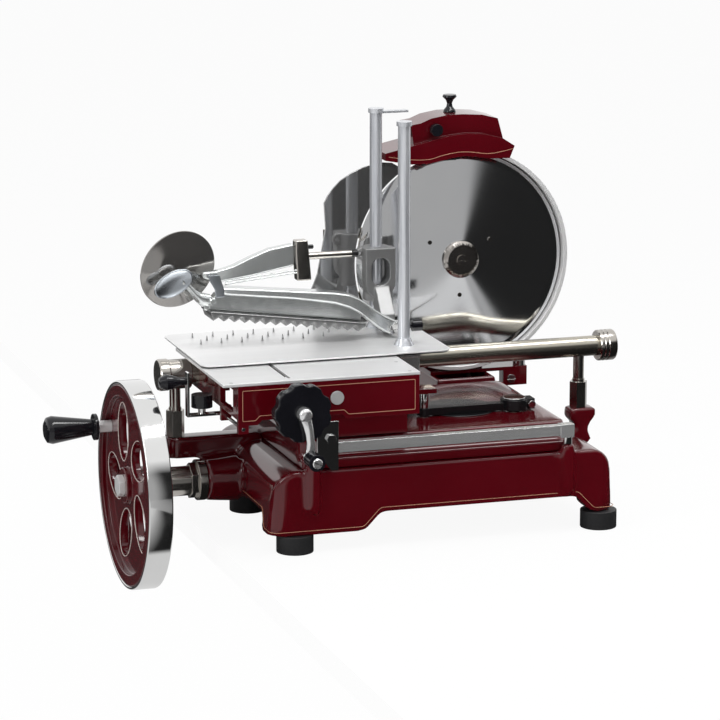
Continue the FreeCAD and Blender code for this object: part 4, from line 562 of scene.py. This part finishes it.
def settle(piece, body, slot, finish=None, nodes=(), angle=35):
    """Closes a modelled piece: outward faces, shading, finish and the body that it rides on."""
    edit(piece)
    bpy.ops.mesh.remove_doubles(threshold=WELD)
    bpy.ops.mesh.normals_make_consistent(inside=False)
    bpy.ops.object.mode_set(mode="OBJECT")
    bpy.ops.object.shade_smooth_by_angle(angle=math.radians(angle))
    keep_flat(piece)
    piece.data.name = piece.name
    dress(piece, finish or finishes[slot])
    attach(piece, body)
    if nodes:
        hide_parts(*nodes)
    return piece


TURN_TO = {"X": (0, math.pi / 2, 0), "Y": (math.pi / 2, 0, 0), "Z": (0, 0, 0)}


def drawn_out(name, axis, stations, sides=40):
    """A ring drawn along an axis: each station is its centre and its half sizes, in mm."""
    deselect()
    square = sides == 4
    bpy.ops.mesh.primitive_circle_add(vertices=sides, radius=math.sqrt(2) * MM if square else MM,
                                      fill_type="NGON", rotation=TURN_TO[axis])
    piece = bpy.context.object
    piece.name = name
    bpy.ops.object.transform_apply(location=True, rotation=True, scale=True)
    edit(piece)
    if square:
        bpy.ops.transform.rotate(value=math.pi / 4, orient_axis=axis,
                                 center_override=(0, 0, 0))
    spot, half = Vector((0, 0, 0)), (1, 1, 1)
    for index, (centre, size) in enumerate(stations):
        goal = Vector(centre) * MM
        if index == 0:
            bpy.ops.transform.translate(value=goal)
        else:
            bpy.ops.mesh.extrude_region_move(
                TRANSFORM_OT_translate={"value": goal - spot})
        ratio = [after / before for before, after in zip(half, size)]
        bpy.ops.transform.resize(value=ratio, center_override=goal)
        spot, half = goal, size
    bpy.ops.object.mode_set(mode="OBJECT")
    return piece


def turned(name, axis, centre, profile, sides=48):
    """A round piece from (place along the axis, radius) pairs, in mm."""
    stations = []
    for place, radius in profile:
        spot = list(centre)
        spot["XYZ".index(axis)] = place
        half = [radius] * 3
        half["XYZ".index(axis)] = 1
        stations.append((spot, half))
    return drawn_out(name, axis, stations, sides)


def line_of_paint(name, points, body, closed=False, width=0.42, finish=None):
    """A thin raised line through points in mm."""
    data = bpy.data.curves.new(name, "CURVE")
    data.dimensions = "3D"
    data.bevel_depth = width * MM
    data.bevel_resolution = 1
    data.resolution_u = 6
    data.use_fill_caps = True
    run = data.splines.new("NURBS")
    run.points.add(len(points) - 1)
    for knot, spot in zip(run.points, points):
        knot.co = tuple(value * MM for value in spot) + (1,)
    run.use_cyclic_u = closed
    run.order_u = 3
    run.use_endpoint_u = not closed
    piece = bpy.data.objects.new(name, data)
    bpy.context.collection.objects.link(piece)
    deselect()
    piece.select_set(True)
    bpy.context.view_layer.objects.active = piece
    bpy.ops.object.convert(target="MESH")
    piece = bpy.context.object
    piece.name = name
    return settle(piece, body, "red_enamel", finish or gold_paint)


def corner_points(corners, soft, closed):
    """Doubles each corner into two points a little way along its runs."""
    points = []
    count = len(corners)
    for index, corner in enumerate(corners):
        here = Vector(corner)
        if not closed and index in (0, count - 1):
            points.append(here)
            continue
        for other in (corners[index - 1], corners[(index + 1) % count]):
            run = Vector(other) - here
            points.append(here + run.normalized() * min(soft, run.length * 0.45))
            if other is corners[index - 1]:
                points.append(here)
    return points


def base_lines():
    """The line that follows the foot of the lower casting round its front and both ends."""
    low, high = 30.5, 54.5
    front = -130.2
    corners = [
        (231.2 - 3, 150, low), (231.2 - 3, 96, low), (231.2 - 6, 82, high), (231.2 - 6, -82, high),
        (231.2 - 3, -96, low), (231 - 1, -122, low), (223, front, low), (199.6, front, low),
        (176.6, front, high), (-99.6, front, high), (-122.6, front, low), (-242, front, low),
        (-250 + 1, -122, low), (-250.2 + 1, -96, low), (-250.2 + 3, -82, high),
        (-250.2 + 3, 82, high), (-250.2 + 1, 96, low), (-250.2 + 1, 150, low),
    ]
    line_of_paint("base_line", corner_points(corners, 9, False), "base")


def carriage_lines():
    front = -125.2
    corners = [
        (-285, front, 222), (-285, front, 182), (-268, front, 182), (-262, front, 188),
        (-148, front, 188), (-142, front, 182), (-51, front, 182), (-51, front, 222),
    ]
    line_of_paint("carriage_line", corner_points(corners, 3, True), "carriage", True)


def sharpener_lines():
    front = 168.8
    edge = [(188, 469), (166, 464.5), (151, 463.5), (136, 466), (121, 468), (107, 468),
            (87, 465), (73, 461), (64, 459.5), (41, 460), (8, 466)]
    line_of_paint("sharpener_line", [(x, front, z) for x, z in edge], "base")


WHEEL_CENTRE = (45, 65)
WHEEL_FACE = -395.2
WINDOWS = 5
WINDOW_FIRST = 33
WINDOW_ORBIT = 72
WINDOW_TILT = math.radians(24)
WINDOW_HALF = (40, 27)
RING_POINTS = 28


def wheel_highlight_lines():
    """A pale line round each window of the flywheel: a painted highlight where the window's rounded
    edge catches the light.
    """
    for index in range(WINDOWS):
        angle = math.radians(WINDOW_FIRST + 360 / WINDOWS * (index + 0.5))
        tilt = angle + WINDOW_TILT
        centre = (WHEEL_CENTRE[0] + WINDOW_ORBIT * math.cos(angle),
                  WHEEL_CENTRE[1] + WINDOW_ORBIT * math.sin(angle))
        ring = []
        for step in range(RING_POINTS):
            turn = 2 * math.pi * step / RING_POINTS
            long, wide = WINDOW_HALF[0] * math.cos(turn), WINDOW_HALF[1] * math.sin(turn)
            ring.append((WHEEL_FACE, centre[0] + long * math.cos(tilt) - wide * math.sin(tilt),
                         centre[1] + long * math.sin(tilt) + wide * math.cos(tilt)))
        line_of_paint("window_highlight_line_%d" % (index + 1), ring, "flywheel", True, 0.5,
                      window_highlight_paint)


PRESS_PLANE = 80


def press_arm():
    """The cast arm: a broad rounded top rail that sweeps down to the pivot over a thin web."""
    rail = [
        (-262, 319.5, 311, 11), (-250, 318.5, 308, 13), (-200, 313.5, 302, 13),
        (-158, 309, 297, 13), (-128, 306, 292, 13), (-100, 303, 287, 13), (-80, 299, 280, 13),
        (-66, 293, 272, 13), (-54, 284.5, 262, 13), (-42, 275, 252, 13), (-30, 267, 244, 13),
        (-17, 261, 238.5, 13), (-9, 256, 241, 13),
    ]
    stations = [((x, PRESS_PLANE, (top + low) / 2), (1, half, (top - low) / 2))
                for x, top, low, half in rail]
    piece = rounded_edges(drawn_out("press_arm_rail", "X", stations, 4), 3.6, 4)
    settle(piece, "press", "cast_aluminium", nodes=["press_arm"], angle=60)
    web = [
        (-275, 298, 290.5), (-264, 311, 289), (-250, 311, 287), (-200, 305, 280.5),
        (-158, 300, 275), (-128, 295, 271), (-100, 290, 267), (-80, 284, 264.4), (-63, 276, 262),
    ]
    stations = [((x, PRESS_PLANE, (top + low) / 2), (1, 8.5, (top - low) / 2))
                for x, top, low in web]
    piece = rounded_edges(drawn_out("press_arm_web", "X", stations, 4), 1.5, 3)
    settle(piece, "press", "cast_aluminium", angle=60)
    for index, (x, z, radius) in enumerate(((-270, 301, 5), (-261, 311.5, 4), (-17, 249, 7.5))):
        piece = turned("press_screw_%d" % (index + 1), "Y", (x, 0, z),
                       [(75, radius), (66.5, radius), (65.5, radius - 1), (65.5, radius * 0.45),
                        (66.2, radius * 0.4)], 24)
        settle(piece, "press", "cast_aluminium")
    strap = [(-270, 337, 8), (-268, 331, 8), (-262, 318, 6.5), (-261, 307, 6)]
    stations = [((x, 66.6, z), (half, 1.6, 1)) for x, z, half in strap]
    piece = rounded_edges(drawn_out("press_strap", "Z", stations, 4), 0.8, 2)
    settle(piece, "press", "cast_aluminium", spoon_satin)


def press_handle():
    """The thumb handle: an egg-shaped spoon with a dished front face and a raised rim."""
    centre, tilt = (-323, 327.5), math.radians(27)
    stations = []
    for y, share in ((81.4, 0.3), (81, 0.6), (79, 0.86), (76.5, 0.97), (74.5, 1.0), (72.6, 0.98),
                     (72, 0.94), (72.4, 0.89), (73.6, 0.8), (74.8, 0.6), (75.4, 0.35), (75.6, 0.1)):
        stations.append(((centre[0], y, centre[1]), (28.5 * share, 1, 16.4 * share)))
    piece = drawn_out("press_spoon", "Y", stations, 48)
    edit(piece)
    bpy.ops.transform.rotate(value=tilt, orient_axis="Y",
                             center_override=(centre[0] * MM, PRESS_PLANE * MM, centre[1] * MM))
    bpy.ops.object.mode_set(mode="OBJECT")
    settle(piece, "press", "cast_aluminium", spoon_satin, ["press_handle"], 70)
    neck = [(-310, 328, 8, 4), (-300, 319, 7, 5.5), (-292, 309, 8, 7), (-284, 303, 9.5, 8),
            (-272, 300, 10, 8)]
    stations = [((x, 78.5, z), (1, wide, tall)) for x, z, tall, wide in neck]
    piece = drawn_out("press_neck", "X", stations, 16)
    settle(piece, "press", "cast_aluminium", angle=70)
    foot = [(296.5, 9), (299, 10), (304, 10), (306.5, 9)]
    stations = [((-272, PRESS_PLANE, z - 8), (half, 7.4, 1)) for z, half in foot]
    piece = rounded_edges(drawn_out("press_neck_foot", "Z", stations, 4), 1.5, 2)
    settle(piece, "press", "cast_aluminium")


def press_links():
    """The linkage over the arm: a swelling lever, its end block, a thin tie and a stop bar."""
    outline = [(-282, 340, 332, 4), (-264, 341, 325, 6), (-240, 347, 328, 7), (-217, 357, 331, 7),
               (-190, 367, 336, 7), (-156, 372, 342, 7)]
    stations = [((x, PRESS_PLANE, (top + low) / 2), (1, half, (top - low) / 2))
                for x, top, low, half in outline]
    piece = rounded_edges(drawn_out("press_lever", "X", stations, 4), 3, 4)
    settle(piece, "press", "cast_aluminium", nodes=["press_links"], angle=60)
    stations = [((x, PRESS_PLANE, z), (half, 8, 1)) for z, x, half in
                ((321, -142, 10), (330, -142.5, 10), (362, -145, 9.5), (376, -145.5, 8.5))]
    piece = rounded_edges(drawn_out("press_block", "Z", stations, 4), 2, 3)
    settle(piece, "press", "cast_aluminium", finishes["nickel_warm"])
    for index, fall in enumerate((0, 3.4)):
        stations = [((x, 74, z - fall), (1, 1.2, 1.2)) for x, z in ((-252, 326), (-152, 336))]
        piece = drawn_out("press_tie_%d" % (index + 1), "X", stations, 12)
        settle(piece, "press", "cast_aluminium")
    for name, profile, finish in (
        ("press_stop", [(-137, 4.8), (-74, 4.8), (-73, 4)], finishes["nickel_warm"]),
        ("press_stop_tip", [(-73, 4.4), (-72, 5), (-66, 5), (-65, 4)], finishes["black_enamel"]),
    ):
        piece = turned(name, "X", (0, PRESS_PLANE, 353), profile, 32)
        settle(piece, "press", "cast_aluminium", finish)
    piece = turned("press_stub", "X", (0, 78, 366), [(-137, 3), (-129, 3), (-128, 2)], 20)
    settle(piece, "press", "cast_aluminium", finishes["black_enamel"])


# How far the black strip that paints the shadow gap sits back from the plate's edge, in metres.
SHADOW_STRIP_INSET = 0.004


def feed_table():
    """The feed table: a thin bright plate over a black strip that is set back from its edge, black
    to paint the shadow in the gap under the plate's edge.
    """
    plate = soften("meat_table", "table_plate", 0.6)
    shadow_strip = plate.copy()
    shadow_strip.data = plate.data.copy()
    shadow_strip.name = "table_shadow_strip"
    bpy.context.collection.objects.link(shadow_strip)
    low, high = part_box("meat_table")
    middle = [(a + b) / 2 for a, b in zip(low, high)]
    edit(plate)
    bpy.ops.transform.resize(value=(1, 1, 0.5), center_override=(*middle[:2], high[2]))
    edit(shadow_strip)
    share = [1 - SHADOW_STRIP_INSET / (b - a) for a, b in zip(low, high)]
    bpy.ops.transform.resize(value=(share[0], share[1], 0.5), center_override=(*middle[:2], low[2]))
    # The strip is black to paint the shadow in the gap under the plate's edge.
    settle(shadow_strip, body_of["meat_table"], "table_aluminium", finishes["black_enamel"])
    for index, spot in enumerate(((-298, -117), (-56, -117), (-56, -60))):
        piece = turned("plate_screw_%d" % (index + 1), "Z", (*spot, 0),
                       [(229, 2.4), (232.1, 2.4), (232.2, 2), (232, 0.8)], 20)
        settle(piece, "carriage", "steel_zinc")


def hand_guard():
    """A thin domed shield with a rolled rim."""
    profile = [(109.5, 12), (109.8, 30), (110.2, 44), (110.4, 50.6), (109.4, 52), (107.6, 51.6),
               (107.4, 50.4), (107.8, 44), (107.2, 30), (106.6, 12)]
    piece = turned("guard_shield", "Y", (-308, 0, 340), profile, 72)
    middle = (-0.308, 0.108, 0.34)
    edit(piece)
    lean = math.radians(45)
    bpy.ops.transform.rotate(value=lean, orient_axis="Y", center_override=middle)
    bpy.ops.transform.resize(value=(0.91, 1, 1.06), center_override=middle)
    bpy.ops.transform.rotate(value=-lean, orient_axis="Y", center_override=middle)
    bpy.ops.object.mode_set(mode="OBJECT")
    settle(piece, "press", "blade_steel", finishes["shield_mirror"], ["hand_guard"], 60)


def feed_crank():
    """The cranked arm of the feed wheel: a domed hub, a bowed round shank and a slotted end."""
    hub, end = Vector((-219, 0, 199.5)), Vector((-211.9, 0, 142))
    dome = [(-178, 9.5), (-185, 9.6), (-188.5, 8.8), (-190.8, 6.8), (-191.8, 4), (-192, 1.5)]
    piece = turned("crank_hub", "Y", hub, dome, 40)
    settle(piece, "feed_wheel", "chrome_bright", crank_chrome, ["feed_crank_arm"], 60)
    shank = [(0.0, -181, 5), (0.1, -182.6, 7.6), (0.25, -184.6, 6.6), (0.45, -186, 5.6),
             (0.65, -186, 5.4), (0.82, -185, 6.2), (0.95, -184, 7.6), (1.06, -183.6, 5)]
    stations = []
    for share, y, half in shank:
        bow = 2.6 * math.sin(math.pi * share)
        stations.append(((hub.x + (end.x - hub.x) * share + bow, y,
                          hub.z + (end.z - hub.z) * share), (half, half * 0.66, 1)))
    piece = drawn_out("crank_shank", "Z", stations, 28)
    settle(piece, "feed_wheel", "chrome_bright", crank_chrome, angle=70)
    eye = [(-179, 8), (-180, 8.6), (-189, 8.6), (-190, 8)]
    settle(turned("crank_eye", "Y", end, eye, 40), "feed_wheel", "chrome_bright", crank_chrome)
    head = [(-189, 4), (-215, 4), (-215, 6.6), (-217, 6.6), (-218, 5.6)]
    for side in (-1, 1):
        piece = turned("crank_screw_%s" % ("low" if side < 0 else "high"), "Y", end, head, 40)
        edit(piece)
        slope = Vector((0.45, 0, 0.89)) * side
        bpy.ops.mesh.bisect(plane_co=end * MM + slope * 0.7 * MM, plane_no=slope, use_fill=True,
                            clear_inner=True)
        bpy.ops.object.mode_set(mode="OBJECT")
        settle(piece, "feed_wheel", "chrome_bright", crank_chrome)


BAR_AXIS = (0, 80, 203.5)


def bar_caps():
    """The turned caps on both ends of the slide bar."""
    right = [(281, 16), (281, 20.4), (282, 21.3), (285, 21.5), (286, 20.6), (287, 20.6),
             (288, 21.5), (291, 21.5), (292, 20.6), (293, 20.6), (294, 21.5), (303, 21.5),
             (305, 20.3), (305, 17), (304, 16), (304, 3)]
    settle(turned("bar_cap_right", "X", BAR_AXIS, right, 64), "base", "nickel_warm",
           nodes=["slide_bar_ends"])
    left = [(-301, 16), (-301, 19.2), (-302, 20), (-330, 20), (-331, 20.6), (-332, 21.5),
            (-343, 21.5), (-345, 20), (-345, 4)]
    settle(turned("bar_cap_left", "X", BAR_AXIS, left, 64), "base", "nickel_warm")


base_lines()
carriage_lines()
sharpener_lines()
wheel_highlight_lines()
press_arm()
press_links()
press_handle()
feed_table()
feed_crank()
hand_guard()
bar_caps()
